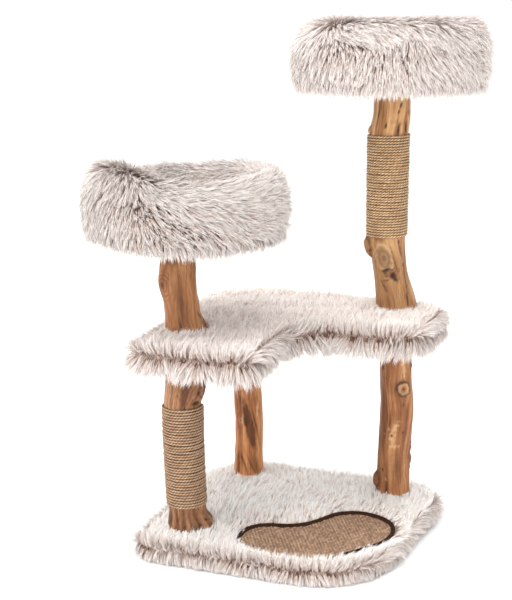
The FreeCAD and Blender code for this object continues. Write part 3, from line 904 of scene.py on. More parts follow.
def bed_fur(prefix, section, centre, look, materials, seed):
    """The fur of a padded ring, combed by bearing from the front: along the wall, over the crest and
    down the bowl. The hem hangs from its own seam."""
    line, ahead = profile_curve(section)
    total = len(line)
    crest_at = line[:, 1].argmax() / total
    hem, crest = line[0, 1] - 10 * MM, line[:, 1].max()
    seam = hem + look["seam"] * (crest - hem)
    random = np.random.default_rng(seed)
    step = BED_ROW_STEP / SECTION_STEP
    bearings = look["bearings"]
    fur = Fur()
    rows = np.arange(0.02 * total, 0.99 * total, step)
    crest_rows = np.arange((crest_at - 0.13) * total, (crest_at + 0.15) * total, step) + step / 2
    for at in np.concatenate([rows, crest_rows]):
        count = round(2 * math.pi * line[int(at)][0] / TUFT_SPACING)
        bearing = (np.arange(count) + random.uniform(0, 1, count)) * 2 * math.pi / count
        index = np.clip(at + random.uniform(-0.5, 0.5, count) * step, 0, total - 1).astype(int)
        share = index / total
        out = np.stack([np.cos(bearing), np.sin(bearing), np.zeros(count)], axis=1)
        right = np.stack([-np.sin(bearing), np.cos(bearing), np.zeros(count)], axis=1)
        up = np.array([0, 0, 1.0])
        relative = from_front(bearing)
        height = line[index][:, 1]
        climb = (height - seam) / (crest - seam)
        puff = puff_at(look, relative, height, hem, crest)
        roots = out * line[index][:, :1] + up * (height + puff)[:, None]
        roots[:, :2] += centre
        along = out * ahead[index][:, :1] + up * ahead[index][:, 1:]
        normal = out * ahead[index][:, 1:] - up * ahead[index][:, :1]

        turn_at = np.interp(relative, bearings, look["turn"]) + 0.05 * waves(roots, 0.09, seed + 1)
        first = step_between(0.0, 1.0, climb / turn_at)[:, None]
        soft = np.interp(relative, bearings, np.broadcast_to(look["soft"], len(bearings)))
        last = step_between(-1, 1, (climb - turn_at) / soft)[:, None]
        past = step_between(crest_at, crest_at + 0.2, share)[:, None]
        way = combed(bearings, look["low"], relative)
        for zone, much in (("middle", first), ("high", last), ("inner", past)):
            way = way * (1 - much) + combed(bearings, look[zone], relative) * much
        hanging = (height < seam + 4 * MM * waves(roots[:, :2], 0.15, seed + 2)) & (share < crest_at)
        way[hanging] = (1.0, 0.0)
        drift = 0.18 * waves(roots, 0.13, seed + 3) + 0.16 * waves(roots, 0.04, seed + 4)
        way = unit(way)
        way = np.stack([way[:, 0] * np.cos(drift) - way[:, 1] * np.sin(drift),
                        way[:, 0] * np.sin(drift) + way[:, 1] * np.cos(drift)], axis=1)
        combs = -along * way[:, :1] + right * way[:, 1:]

        bowl = share > crest_at + 0.2
        outside = ~bowl
        # Spots: painted shade, in dark roots, where the fur parts; the fur is also shorter and more upright
        # there.
        spot = np.zeros(count)
        for spot_bearing, spot_height, half_turn, half_height, strength in look["spots"]:
            apart = np.hypot((relative - spot_bearing) / half_turn, (height / MM - spot_height) / half_height)
            spot = np.maximum(spot, strength * hump(apart) * outside)
        spot = spot * patches(roots, 0.018, seed + 7, -1.3, 0.0)
        lifted = np.interp(relative, bearings, look["hem_lift"]) * MM
        length = np.interp(share, (crest_at, crest_at + 0.15), (45 * MM, 22 * MM)) * (1 - 0.5 * spot)
        length = np.where(hanging, np.clip((height - hem - lifted) * 1.25 + 7 * MM, 12 * MM, 40 * MM), length)
        rise = 48 - 32 * spot + random.normal(0, 7, count)
        lie = np.where(hanging, 74, 86) + random.normal(0, 6, count)
        wall = outside * (climb < 0.8)
        far_side = (relative > 60) | (relative < -150)
        # Painted shade: dark roots in patches between the tufts on the outer wall, and on the far side of the
        # bowl.
        shade_between_tufts = (0.4 + 0.6 * hump(relative, -5, 45)) * patches(roots, 0.03, seed + 6, 0.1, 1.3)
        shade = 0.03 + shade_between_tufts * wall + spot + 0.4 * bowl * far_side
        fur.plant(roots, normal, combs, length, rise, lie, np.clip(shade, 0, 1) + spot)
    fur.grow(prefix + "_fur", seed + 11, materials, [prefix + "_fur_cover"])


def lathe(name, section, centre, turns, material, replaced, lump, seed, closed=False):
    """A section of radius and height turned round a bed's centre, with soft lumps."""
    angles = np.linspace(0, 2 * math.pi, turns, endpoint=False)
    line = np.array(section)
    radius, height = line[:, 0][:, None], line[:, 1][:, None]
    points = np.stack([np.cos(angles) * radius, np.sin(angles) * radius,
                       np.broadcast_to(height, (len(line), turns))], axis=-1)
    flat = points.reshape(-1, 3)
    flat = flat + unit(flat * [1, 1, 0]) * (lump * waves(flat, 0.12, seed))[:, None]
    flat[:, :2] += centre
    return piece(name, flat, tube_faces(len(line), turns, closed), material, replaced)


# ================= logs =================

def hump(apart, at=0.0, width=1.0, power=2):
    """1 at a distance and falling to 0 round it."""
    return np.exp(-np.abs((apart - at) / width) ** power)


# What each kind of mark does at a distance from its middle, with its edge at 1: how far the wood rises, as
# a share of the mark's own height, and how much it takes of each colour. Its second value is roughness.
# Stains and bark keep the wood's own colour, except where noted in the marks below.
# The dark of gashes and hollows, the near-black in cracks, slits, bark crevices and round knots, and the
# broad dark band are painted shade.
MARK_KINDS = {
    "eye": {"rise": lambda a, r: hump(a, 0, 1.2), "knot": lambda a, r: 0.9 * a},
    "ring": {"rise": lambda a, r: 0.4 * hump(a, 0, 1.3) + 0.6 * hump(a, 0.8, 0.3) - 0.3 * hump(a, 0, 0.35),
             "knot": lambda a, r: a, "crack_shade": lambda a, r: 0.9 * hump(a, 1.02, 0.2),
             "pale": lambda a, r: 0.5 * hump(a, 0.7, 0.25)},
    "stub": {"rise": lambda a, r: hump(a, 0, 1, 6), "knot": lambda a, r: a,
             "crack_shade": lambda a, r: 0.75 * hump(a, 1.0, 0.16)},
    "scar": {"rise": lambda a, r: hump(a, 1, 0.22) - 0.5 * hump(a, 0, 0.9, 4),
             "knot": lambda a, r: 0.6 + 0.5 * a,
             "olive": lambda a, r: hump(a, 0, 1, 6), "pale": lambda a, r: 0.8 * hump(a, 1.08, 0.14)},
    "bark": {"rise": lambda a, r: hump(a) * (0.8 + 0.5 * r),
             "dark": lambda a, r: hump(a, 0, 1.1) * (0.55 + 0.5 * r),
             "crack_shade": lambda a, r: hump(a, 0, 1.0) * step_between(0.5, 1.2, -r)},
    "gash": {"rise": lambda a, r: -hump(a), "dark": lambda a, r: 0.7 * hump(a, 0, 1.5),
             "crack_shade": lambda a, r: hump(a, 0, 0.75) * (0.62 + 0.3 * r)},
    "slit": {"rise": lambda a, r: -hump(a), "crack_shade": lambda a, r: hump(a, 0, 0.95, 4)},
    "hollow": {"rise": lambda a, r: -hump(a, 0, 1, 4), "dark": lambda a, r: 1.5 * hump(a, 0, 0.95, 5)},
    "stain_and_shade": {"dark": lambda a, r: 0.75 * hump(a)},
    "shade_band": {"dark": lambda a, r: 0.38 * hump(a, 0, 1, 6)},
    "pale": {"rise": lambda a, r: hump(a, 0, 1, 4),
             "pale": lambda a, r: 0.6 * hump(a * (1 + 0.3 * r), 0, 1, 5)},
    "knob": {"rise": lambda a, r: hump(a), "pale": lambda a, r: 0.7 * hump(a)},
}
BENDS_GRAIN = ("eye", "ring", "stub", "scar", "bark", "knob")

# Marks: kind, height in mm, bearing in degrees right of the log's front, half height and half width in mm,
# slant in degrees to the left at the top, and how far the wood rises or sinks in mm.
LOG_MARKS = {
    "left_lower_log": (
        ("hollow", 440, 4, 86, 12, 0, 3.0), ("gash", 440, -40, 60, 2.5, 3, 1.5),
        ("bark", 408, 52, 36, 24, 0, 9.0), ("slit", 372, 46, 8, 12, 0, 4.0),
        ("slit", 424, 58, 7, 6, 0, 4.0), ("slit", 400, 44, 9, 3, 20, 3.0), ("knob", 385, 62, 14, 9, 0, 3.0),
        ("gash", 66, -60, 40, 3.0, 0, 3.5), ("gash", 78, -34, 26, 3.0, 3, 3.0),
        ("gash", 54, -14, 56, 5.5, -2, 5.0), ("gash", 70, 8, 34, 2.6, 2, 3.0),
        ("gash", 60, 34, 56, 6.0, 5, 6.5), ("stain_and_shade", 60, 16, 40, 13, 0, 0),
        ("bark", 66, 62, 22, 13, 0, 5.0), ("knob", 50, 74, 16, 9, 0, 4.0),
        ("gash", 62, 100, 50, 4.0, 0, 4.0), ("gash", 62, 140, 46, 3.5, 0, 4.0),
        ("gash", 60, 190, 50, 4.0, 0, 4.0), ("gash", 62, 240, 46, 3.5, 0, 4.0),
        ("eye", 420, 190, 22, 17, 0, 4.0)),
    "right_lower_log": (
        ("slit", 394, -64, 11, 5, 0, 4.0), ("ring", 343, 20, 18, 17, 0, 5.0),
        ("pale", 212, -16, 21, 8, 8, 0.7), ("pale", 240, -9, 15, 6, -24, 0.7),
        ("pale", 187, -8, 6, 13, 0, 0.7), ("slit", 216, -18, 4, 3.4, 0, 2.5),
        ("bark", 150, 86, 48, 15, 0, 4.5), ("stub", 87, -80, 21, 15, 0, 9.0),
        ("slit", 119, -48, 5, 4, 0, 3.0), ("gash", 58, -32, 34, 3.6, 0, 4.0),
        # The second pale mark on the next line, at 392 mm, is a painted highlight: a narrow upright strip
        # near the log's front.
        ("pale", 96, -34, 6, 3, 0, 0.5), ("pale", 392, 24, 30, 5, 6, 0.6),
        ("stain_and_shade", 300, -60, 120, 10, 0, 0), ("bark", 396, 64, 14, 7, 0, 2.0),
        ("slit", 300, 18, 5, 1.6, 0, 1.5), ("slit", 225, 22, 5, 1.6, 0, 1.5),
        ("stain_and_shade", 130, 10, 40, 12, 0, 0), ("ring", 250, 200, 18, 16, 0, 4.0),
        ("gash", 360, 150, 60, 3, 5, 3.0), ("eye", 120, 130, 24, 18, 0, 4.0)),
    "back_log": (
        ("hollow", 196, 3, 72, 13, 12, 4.0), ("knob", 209, -24, 8, 10, 0, 6.5),
        ("slit", 209, -33, 4, 3, 0, 2.0), ("gash", 205, 27, 46, 2.4, 13, 2.0),
        ("pale", 240, 38, 22, 3, -10, 0.8), ("gash", 276, -36, 56, 3, 0, 3.0),
        ("gash", 88, -46, 50, 4, 0, 4.0), ("gash", 90, -20, 30, 2.2, 20, 1.6),
        ("gash", 80, 14, 30, 2.2, 24, 1.6), ("stain_and_shade", 80, 30, 46, 12, 16, 0),
        ("ring", 300, 170, 16, 14, 0, 4.0), ("gash", 330, 110, 90, 3, 4, 2.5)),
    "left_upper_log": (
        # The stain on the next line, at 724 mm near the log's top, is painted shade under the bed above, with
        # some dark grain.
        ("eye", 661, -44, 34, 23, 0, 5.0), ("stain_and_shade", 724, -14, 16, 26, 0, 0),
        ("stain_and_shade", 610, 4, 80, 11, 0, 0), ("bark", 560, 78, 27, 16, 12, 8.0),
        ("slit", 586, 64, 10, 2.4, 18, 3.0), ("slit", 548, 44, 14, 2.0, 0, 2.5),
        ("gash", 560, -8, 34, 3.0, 0, 2.0), ("eye", 640, 160, 24, 18, 0, 4.0),
        ("gash", 600, 215, 70, 3, 4, 3.0)),
    "right_upper_log": (
        # The first mark on the next line darkens this log's lower part all round: painted shade.
        ("shade_band", 620, 0, 130, 400, 0, 0), ("stub", 704, -82, 24, 16, 0, 11.0),
        ("scar", 681, -20, 32, 20, 4, 1.6), ("bark", 642, -6, 19, 25, 35, -3.0),
        ("stain_and_shade", 643, -14, 12, 26, 24, 0), ("stain_and_shade", 636, 4, 16, 17, 0, 0),
        ("slit", 637, 1, 7, 12, 25, 3.0), ("slit", 650, -20, 5, 15, 20, 2.0),
        ("slit", 628, 8, 6, 7, -20, 2.5), ("stain_and_shade", 730, -26, 12, 12, 0, 0),
        ("slit", 634, 2, 7, 11, 0, 3.0), ("gash", 606, -36, 15, 4.5, 30, 2.5),
        ("stain_and_shade", 728, -38, 10, 10, 0, 0), ("gash", 700, 42, 28, 3.6, 14, 3.0),
        ("gash", 618, 47, 62, 3.8, -13, 3.0), ("slit", 576, 34, 18, 2.6, -8, 3.0),
        ("slit", 721, 36, 7, 3.0, 0, 3.0), ("slit", 660, 58, 6, 3.0, 0, 3.0),
        # The first gash on the next line is a painted shade line along a ridge.
        ("gash", 672, 15, 46, 2.4, 12, 1.6), ("gash", 572, -74, 30, 3.4, 0, 3.0),
        ("slit", 545, 50, 12, 2.4, 0, 2.5), ("slit", 1062, 24, 12, 3.4, -12, 3.0),
        ("slit", 1046, 18, 7, 2.8, -12, 3.0), ("slit", 1012, -18, 9, 3.0, 0, 3.0),
        ("slit", 1002, 26, 17, 4.2, 0, 3.5), ("slit", 1005, 57, 18, 4.8, 8, 4.0),
        ("slit", 1042, 66, 9, 3.0, 0, 2.5), ("gash", 1044, -50, 60, 2.4, 0, 1.6),
        ("stub", 998, -80, 11, 9, 0, 6.0), ("eye", 1040, 170, 20, 16, 0, 3.0),
        ("scar", 640, 175, 22, 16, 0, 1.6), ("gash", 600, 130, 60, 3, 5, 3.0)),
}


def log_piece(name, material, seed):
    """A natural log that replaces its CAD node: an uneven section with its own marks."""
    rings = log_rings(name)
    low, high = rings[0, 0], rings[-1, 0]
    rows = round((high - low) / LOG_STEP)
    columns = round(2 * math.pi * rings[:, 3].mean() / LOG_STEP)
    heights = np.linspace(low, high, rows)
    middle = smooth_at(rings, heights)
    bearing = np.linspace(0, 2 * math.pi, columns, endpoint=False)
    size = np.broadcast_to(middle[:, 2][:, None], (rows, columns))
    spot = np.stack([np.cos(bearing)[None] * size, np.sin(bearing)[None] * size,
                     np.broadcast_to(heights[:, None], (rows, columns))], axis=-1).reshape(-1, 3)
    rough = waves(spot * [1, 1, 0.7], 0.012, seed + 3).reshape(rows, columns)
    shape = (waves(spot * [1, 1, 0.35], 0.075, seed) * 1.5 + waves(spot * [1, 1, 0.12], 0.016, seed + 1) * 0.5
             + waves(spot * [1, 1, 0.5], 0.03, seed + 2) * 0.6)
    radius = size + shape.reshape(rows, columns) * MM
    colours = {key: np.zeros((rows, columns)) for key in ("crack_shade", "dark", "pale", "olive")}
    knot = np.full((rows, columns), 3.0)
    bent = np.broadcast_to(bearing, (rows, columns)).copy()
    for kind, height, facing, tall, wide, slant, rise in LOG_MARKS[name]:
        away = np.angle(np.exp(1j * (bearing - math.radians(CAMERA_AZIMUTH - 90 + facing))))[None]
        across, up = away * size / MM, (heights / MM - height)[:, None]
        lean = math.radians(slant)
        apart = np.hypot((across * math.cos(lean) + up * math.sin(lean)) / wide,
                         (up * math.cos(lean) - across * math.sin(lean)) / tall)
        apart = apart * (1 + 0.08 * rough)
        for key, effect in MARK_KINDS[kind].items():
            value = effect(apart, rough)
            if key == "rise":
                radius = radius + rise * MM * value
            elif key == "knot":
                knot = np.minimum(knot, value)
            else:
                colours[key] = np.maximum(colours[key], value)
        if kind in BENDS_GRAIN:
            bent -= 0.6 * away * hump(apart, 0, 1.9)
    points = np.empty((rows, columns, 3))
    points[..., 0] = middle[:, 0][:, None] + np.cos(bearing)[None] * radius
    points[..., 1] = middle[:, 1][:, None] + np.sin(bearing)[None] * radius
    points[..., 2] = heights[:, None]
    grain = np.stack([np.cos(bent) * size, np.sin(bent) * size, points[..., 2]], axis=-1).reshape(-1, 3)
    attributes = {key: np.clip(value, 0, 1).ravel() for key, value in colours.items()}
    attributes.update(knot=knot.ravel(), grain=grain)
    piece(name + "_wood", points.reshape(-1, 3), capped(rows, columns), material, [name],
          attributes=attributes)


def make_logs():
    brown = wood_material("peeled_wood", (188, 134, 88), (153, 99, 60), (102, 58, 33))
    grey = wood_material("weathered_wood", (178, 131, 94), (138, 92, 58), (84, 50, 30))
    orange = wood_material("orange_wood", (214, 150, 96), (184, 119, 73), (122, 71, 42))
    tan = wood_material("sunlit_wood", (214, 168, 117), (184, 133, 86), (134, 88, 52))
    log_piece("left_lower_log", grey, 11)
    log_piece("right_lower_log", brown, 23)
    log_piece("back_log", orange, 37)
    log_piece("left_upper_log", brown, 41)
    log_piece("right_upper_log", tan, 53)


# ================= ropes, mat and cloth =================

def rope_wrap(name, node, log, material):
    """Three-strand jute rope wound tightly up a log, as one long tube of three twisting lobes."""
    low, high = box(node)
    rings = log_rings(log)
    turns = round((high[2] - low[2]) / ROPE_DIAMETER) - 0.5
    sure = ROPE_DIAMETER / 2
    per_turn = 2 * math.pi * rings[:, 3].mean()
    steps = round(turns * per_turn / ROPE_STEP)
    share = np.linspace(0, 1, steps)
    bearing = share * turns * 2 * math.pi + math.radians(200)
    turned = share[:, None] * turns
    slack = 0.55 * MM * waves(turned, 2.3, 6) + 0.35 * MM * waves(turned, 0.31, 7)
    height = low[2] + sure + (high[2] - low[2] - 2 * sure) * share
    middle = smooth_at(rings, height)
    out = np.stack([np.cos(bearing), np.sin(bearing), np.zeros(steps)], axis=1)
    away = middle[:, 2] + sure * 0.9 + 0.5 * MM * waves(height[:, None], 0.012, 5)
    centre = out * away[:, None]
    centre[:, 0] += middle[:, 0]
    centre[:, 1] += middle[:, 1]
    centre[:, 2] = height + slack * np.sin(math.pi * share)
    up = np.array([0, 0, 1.0])
    columns = 12
    around = np.linspace(0, 2 * math.pi, columns, endpoint=False)
    twist = share * turns * per_turn * 2 * math.pi / ROPE_TWIST
    lobes = np.abs(np.cos(1.5 * (around[None] - twist[:, None])))
    size = sure * (0.66 + 0.36 * lobes)
    points = (centre[:, None] + out[:, None] * (np.cos(around)[None] * size)[..., None]
              + up * (np.sin(around)[None] * size)[..., None])
    # Painted shade: dark in the grooves between the lobes and between the turns.
    between_turns = step_between(0.62, 0.95, np.abs(np.sin(around)))[None]
    groove_shade = np.maximum(np.clip(1.05 - lobes * 1.7, 0, 1), 0.8 * between_turns)
    worn = 0.5 + 0.5 * waves(points.reshape(-1, 3), 0.02, 9).reshape(lobes.shape)
    # Painted light: lighter on the rope's outer side and on the tops of its lobes, with some random tone.
    light_and_tone = np.clip(0.35 + 0.5 * lobes ** 2 * np.cos(around)[None] + 0.25 * (worn - 0.5), 0, 1)
    piece(name, points.reshape(-1, 3), capped(steps, columns), material, [node],
          attributes={"groove_shade": groove_shade.ravel(), "light_and_tone": light_and_tone.ravel()})


def woven_mat(material):
    """The scratch mat: jute over and under in a plain weave, cut to the mat's outline."""
    low, high = box("scratch_mat")
    loop = evenly(top_outline("scratch_mat"), 4 * MM)
    xs = np.arange(low[0], high[0] + MAT_STEP, MAT_STEP)
    ys = np.arange(low[1], high[1] + MAT_STEP, MAT_STEP)
    x, y = np.meshgrid(xs, ys)
    flat = np.stack([x.ravel(), y.ravel()], axis=1)
    u, v = x / MAT_PITCH, y / (1.8 * MAT_PITCH)
    warp_over = (np.floor(u) + np.floor(v)) % 2 == 0
    across = np.where(warp_over, u, v) % 1 - 0.5
    along = np.where(warp_over, v, u) % 1 - 0.5
    bulge = np.cos(math.pi * across) ** 0.5 * np.cos(math.pi * along)
    cells = 200
    cell_u, cell_v = np.floor(u).astype(int) % cells, np.floor(v).astype(int) % cells
    plump = np.random.default_rng(9).uniform(0, 1, (cells, cells))[cell_v, cell_u]
    bulge = bulge * (0.75 + 0.5 * plump)
    tone = np.random.default_rng(8).uniform(0, 1, (cells, cells))[cell_u, cell_v]
    z = high[2] - 1.4 * MM + 1.9 * MM * bulge
    points = np.stack([x, y, z], axis=-1).reshape(-1, 3)
    points[:, 2] += 0.3 * MM * waves(flat, 0.05, 8)
    good = inside(flat, loop + outward(loop) * 2 * MM).reshape(x.shape)
    columns = x.shape[1]
    i, j = np.nonzero(good[:-1, :-1] & good[1:, :-1] & good[:-1, 1:] & good[1:, 1:])
    corner = i * columns + j
    faces = np.stack([corner, corner + 1, corner + columns + 1, corner + columns], axis=1)
    used, faces = np.unique(faces, return_inverse=True)
    faces = faces.reshape(-1, 4).tolist()
    # Painted shade: dark where the weave sinks between threads.
    groove_shade = np.clip(1.15 - 1.5 * bulge, 0, 1).ravel()
    # The threads' own tone: a random tone for each crossing, with the warp lighter than the weft.
    light_and_tone = (0.2 + 0.5 * tone + 0.3 * warp_over).ravel()
    mat = piece("scratch_mat_weave", points[used], faces, material, ["scratch_mat"],
                attributes={"groove_shade": groove_shade[used], "light_and_tone": light_and_tone[used]})


def mat_border(material):
    """A felt strip round the mat, with soft edges and a raised lip on its outside."""
    low, high = box("scratch_mat_border")
    outer = evenly(top_outline("scratch_mat_border"), 4 * MM)
    tall, width, lip = high[2] - low[2], BORDER_WIDTH, BORDER_LIP
    profile = [(0.0, 0.0), (1.4 * MM, 0.55 * tall), (1.6 * MM, tall + 0.7 * lip), (0.2 * MM, tall + lip),
               (-1.6 * MM, tall + 0.7 * lip), (-width * 0.45, 1.0 * tall), (-width + 3.0 * MM, 1.06 * tall),
               (-width + 0.6 * MM, 0.9 * tall), (-width - 0.4 * MM, 0.5 * tall), (-width, 0.0)]
    rings = rings_round(outer, profile)
    for ring in rings:
        ring[:, 2] += low[2] + 0.35 * MM * waves(ring[:, :2], 0.03, 4) * (ring[:, 2] > 0)
    piece("mat_border_felt", np.vstack(rings), tube_faces(len(profile), len(outer), True), material,
          ["scratch_mat_border"])


def under_cloth(name, node, material, sag):
    """A cloth stapled under a board, slack between its edges."""
    low, high = box(node)
    loop = evenly(top_outline(node), 9 * MM)
    thick = 0.9 * (high[2] - low[2])
    profile = [(-inset * MM, high[2] - drop * thick)
               for inset, drop in ((0.0, 0.0), (0.5, 1.0), (7.0, 0.3), (22.0, 0.8), (60.0, 1.0))]
    rings = rings_round(loop, profile)
    for ring in rings[2:]:
        ring[:, 2] -= sag * 0.35 * MM * waves(ring[:, :2], 0.035, 9)
    cloth = piece(name, np.vstack(rings), closed_over(rings), material, [node])


# ================= furred boards and beds =================

# Where the fur parts along the seam of each board, with dark roots as painted shade in the parting: x, y
# and reach in mm, and how strongly.
BASE_PARTINGS = (
    (-275, -310, 34, 1.0), (-225, -325, 34, 0.7), (-130, -312, 60, 0.55), (-40, -305, 50, 0.6),
    (70, -296, 40, 0.8), (120, -295, 45, 1.0), (180, -292, 45, 1.0), (240, -272, 34, 0.8),
    (-318, 60, 50, 0.5), (-250, 300, 60, 0.5), (60, 285, 70, 0.5), (320, 120, 40, 0.3),
)
PLATFORM_PARTINGS = (
    (-262, -318, 28, 0.5), (-205, -332, 40, 0.9), (-140, -345, 34, 1.0), (-90, -348, 34, 1.0),
    (-38, -338, 34, 0.9), (0, -290, 22, 0.4), (-8, -110, 30, 0.25), (35, -40, 36, 0.9),
    (95, -10, 40, 1.0), (150, -12, 40, 0.9), (210, -12, 44, 0.8), (275, 5, 30, 0.6),
    (305, 120, 26, 0.3), (-290, 0, 60, 0.5), (-150, 305, 70, 0.6), (140, 290, 70, 0.6),
)
PILE_FLOW = (-0.08, 0.99)


def make_base_fur(materials, pile_materials, backing):
    low, high = box("base_board")
    loop = evenly(top_outline("base_board"), 5 * MM)
    board_skin("base_fur_backing", loop, low[2] + 2 * MM, high[2], 0.0, backing, ["base_fur_cover"])
    mat = evenly(top_outline("scratch_mat_border"), 4 * MM)
    posts = post_circles(("left_lower_log", "right_lower_log", "back_log"), high[2] + 15 * MM, POST_GAP)
    fur = Fur()
    side_tufts(fur, loop, low[2] + 2 * MM, high[2], FLOOR_GAP, 36 * MM, BASE_PARTINGS, 101)
    edge_tufts(fur, loop, high[2], 38 * MM, 138, BASE_PARTINGS, PILE_FLOW, 102)
    fur.grow("base_edge_fur", 105, materials, ["base_fur_cover"], floor=FLOOR_GAP)
    pile = Fur()
    top_tufts(pile, loop, high[2], 0.0, PILE_FLOW, posts, 50 * MM, (46, 88), 104, mat)
    pile.grow("base_pile", 115, pile_materials, ["base_fur_cover"], floor=FLOOR_GAP)


def make_platform_fur(materials, pile_materials, backing):
    low, high = box("platform_board")
    loop = evenly(top_outline("platform_board"), 5 * MM)
    seam = high[2] + 10 * MM
    board_skin("platform_fur_backing", loop, low[2] + 1 * MM, seam, 4 * MM, backing,
               ["platform_fur_cover"])
    posts = post_circles(("left_upper_log", "right_upper_log"), high[2] + 15 * MM, POST_GAP)
    hem = low[2] - 27 * MM
    fur = Fur()
    side_tufts(fur, loop, low[2] - 1 * MM, seam, hem, 54 * MM, PLATFORM_PARTINGS, 201)
    edge_tufts(fur, loop, seam, 44 * MM, 126, PLATFORM_PARTINGS, PILE_FLOW, 202)
    fur.grow("platform_edge_fur", 205, materials, ["platform_fur_cover"])
    pile = Fur()
    top_tufts(pile, loop, seam, 4 * MM, PILE_FLOW, posts, 46 * MM, (38, 84), 204)
    pile.grow("platform_pile", 215, pile_materials, ["platform_fur_cover"])


# How each bed is combed: bearings in degrees, from -90 at the left through 0 at the front, and at each the
# comb's angle from straight down towards the right, low on the wall, at its middle, at the crest and in
# the bowl. The middle gives way to the crest's angle at the share turn of the wall's height, over the
# share soft. Below the share seam of the height, the hem hangs straight down. puff is how far the crest
# stands up and hem_lift how far the hem is drawn up, in mm. Spots are painted shade, in dark roots, where
# the fur parts: bearing, height in mm, half width in degrees, half height in mm and strength.
LEFT_BED_LOOK = {
    "seam": 0.25, "soft": 0.25,
    "bearings": (-180, -120, -90, -60, -45, -26, -22, -8, 10, 30, 50, 90, 130, 180),
    "turn": (0.7, 0.7, 0.75, 0.8, 0.85, 0.85, 0.85, 0.8, 0.75, 0.75, 0.75, 0.75, 0.75, 0.7),
    "low": (20, 10, -4, -2, 0, 2, 30, 40, 52, 60, 66, 60, 50, 20),
    "middle": (40, 20, 0, 0, 0, 4, 42, 62, 72, 76, 80, 84, 80, 40),
    "high": (92, -70, -84, -40, 30, 58, 64, 80, 86, 90, 94, 96, 92, 92),
    "inner": (100, -80, -90, -90, -60, 80, 92, 92, 94, 96, 98, 100, 100, 100),
    "puff": (-8, -16, 4, 34, 38, 22, 14, 3, 0, 2, 5, 9, 8, -8),
    "hem_lift": (0, 2, 6, 7, 4, 1, 1, 0, 0, 2, 5, 9, 4, 0),
    "spots": (
        (-48, 872, 7, 26, 0.45), (-36, 862, 8, 30, 0.6), (-27, 858, 6, 36, 0.8), (-21, 868, 9, 20, 1.0),
        (-16, 850, 13, 16, 1.0), (-8, 835, 15, 12, 1.0), (5, 826, 16, 9, 1.0), (-24, 823, 10, 8, 1.0),
        (-13, 817, 13, 7, 1.0), (-1, 813, 13, 6, 0.9), (32, 827, 10, 8, 1.0), (48, 839, 11, 6, 0.9),
        (120, 850, 20, 20, 0.5), (-130, 840, 16, 16, 0.6), (170, 860, 14, 14, 0.5)),
}
TOP_BED_LOOK = {
    "seam": 0.24,
    "bearings": (-180, -110, -80, -56, -44, -26, -8, 4, 18, 44, 60, 90, 130, 180),
    "turn": (0.75, 0.75, 0.74, 0.76, 0.76, 0.64, 0.63, 0.82, 0.70, 0.67, 0.72, 0.75, 0.75, 0.75),
    "low": (10, 0, 10, 2, 0, 0, 4, 10, 30, 44, 46, 40, 30, 10),
    "middle": (20, 20, 24, 6, 2, 0, 4, 14, 34, 46, 48, 46, 30, 20),
    "soft": (0.3, 0.3, 0.25, 0.12, 0.05, 0.05, 0.05, 0.05, 0.05, 0.06, 0.1, 0.2, 0.3, 0.3),
    "high": (90, -70, -80, -30, 54, 62, 58, 50, 36, 28, 36, 50, 70, 90),
    "inner": (96, -80, -90, -80, 70, 84, 80, 80, 80, 80, 84, 90, 94, 96),
    "puff": (-18, -14, -8, 0, 3, 4, 4, 4, 4, 3, 0, -7, -14, -18),
    "hem_lift": (0, 0, 3, 3, 0, 0, -3, 0, 0, 2, 3, 4, 2, 0),
    "spots": (
        (-44, 1220, 7, 8, 1.0), (-34, 1210, 8, 8, 1.0), (-24, 1204, 8, 8, 1.0), (-12, 1203, 9, 9, 1.0),
        (-2, 1216, 7, 9, 1.0), (4, 1227, 6, 8, 1.0), (14, 1212, 8, 8, 0.8), (30, 1210, 13, 6, 0.5),
        (-40, 1192, 7, 20, 0.75), (-27, 1184, 8, 22, 0.7), (-14, 1182, 8, 24, 0.75), (-2, 1190, 7, 24, 0.7),
        (8, 1196, 6, 18, 0.5), (-48, 1143, 5, 5, 0.9), (-38, 1142, 6, 5, 0.8), (-24, 1141, 9, 6, 0.8),
        (-10, 1142, 7, 6, 0.7), (-8, 1262, 5, 5, 0.8), (16, 1262, 5, 5, 0.8), (30, 1160, 8, 8, 0.3),
        (120, 1200, 18, 14, 0.6), (-140, 1190, 18, 16, 0.6), (170, 1170, 20, 10, 0.5)),
}


def make_bed(prefix, look, materials, backing, foam, plush, seed):
    """A round bed: foam ring, backing, fur and a sewn cushion."""
    low, high = box(prefix + "_fur_cover")
    centre = (low[:2] + high[:2]) / 2
    section = bed_section(low, high)
    line, _ = profile_curve(section, 6 * MM)
    skin = lathe(prefix + "_fur_backing", line, centre, 160, backing, [prefix + "_fur_cover"],
                 lump=1.5 * MM, seed=seed)
    hem, crest = low[2], high[2] - CREST_DROP
    reshape_ring(skin, look, centre, hem, crest, math.inf)
    bed_fur(prefix, section, centre, look, materials, seed + 10)

    foam_low, foam_high = box(prefix + "_foam_wall")
    outer_radius = (foam_high[0] - foam_low[0]) / 2 - 3 * MM
    inner_radius = outer_radius - 40 * MM
    bottom, top = foam_low[2], foam_high[2] - 2 * MM
    foam_section = [(inner_radius, bottom), (outer_radius, bottom), (outer_radius, top - 16 * MM),
                    (outer_radius - 6 * MM, top - 5 * MM), (outer_radius - 20 * MM, top),
                    (inner_radius + 6 * MM, top - 5 * MM), (inner_radius, top - 16 * MM)]
    ring = lathe(prefix + "_foam_ring", foam_section, centre, 96, foam, [prefix + "_foam_wall"],
                 lump=0.6 * MM, seed=seed + 40, closed=True)
    reshape_ring(ring, look, centre, hem, crest, 0.0)
    cushion(prefix, plush)


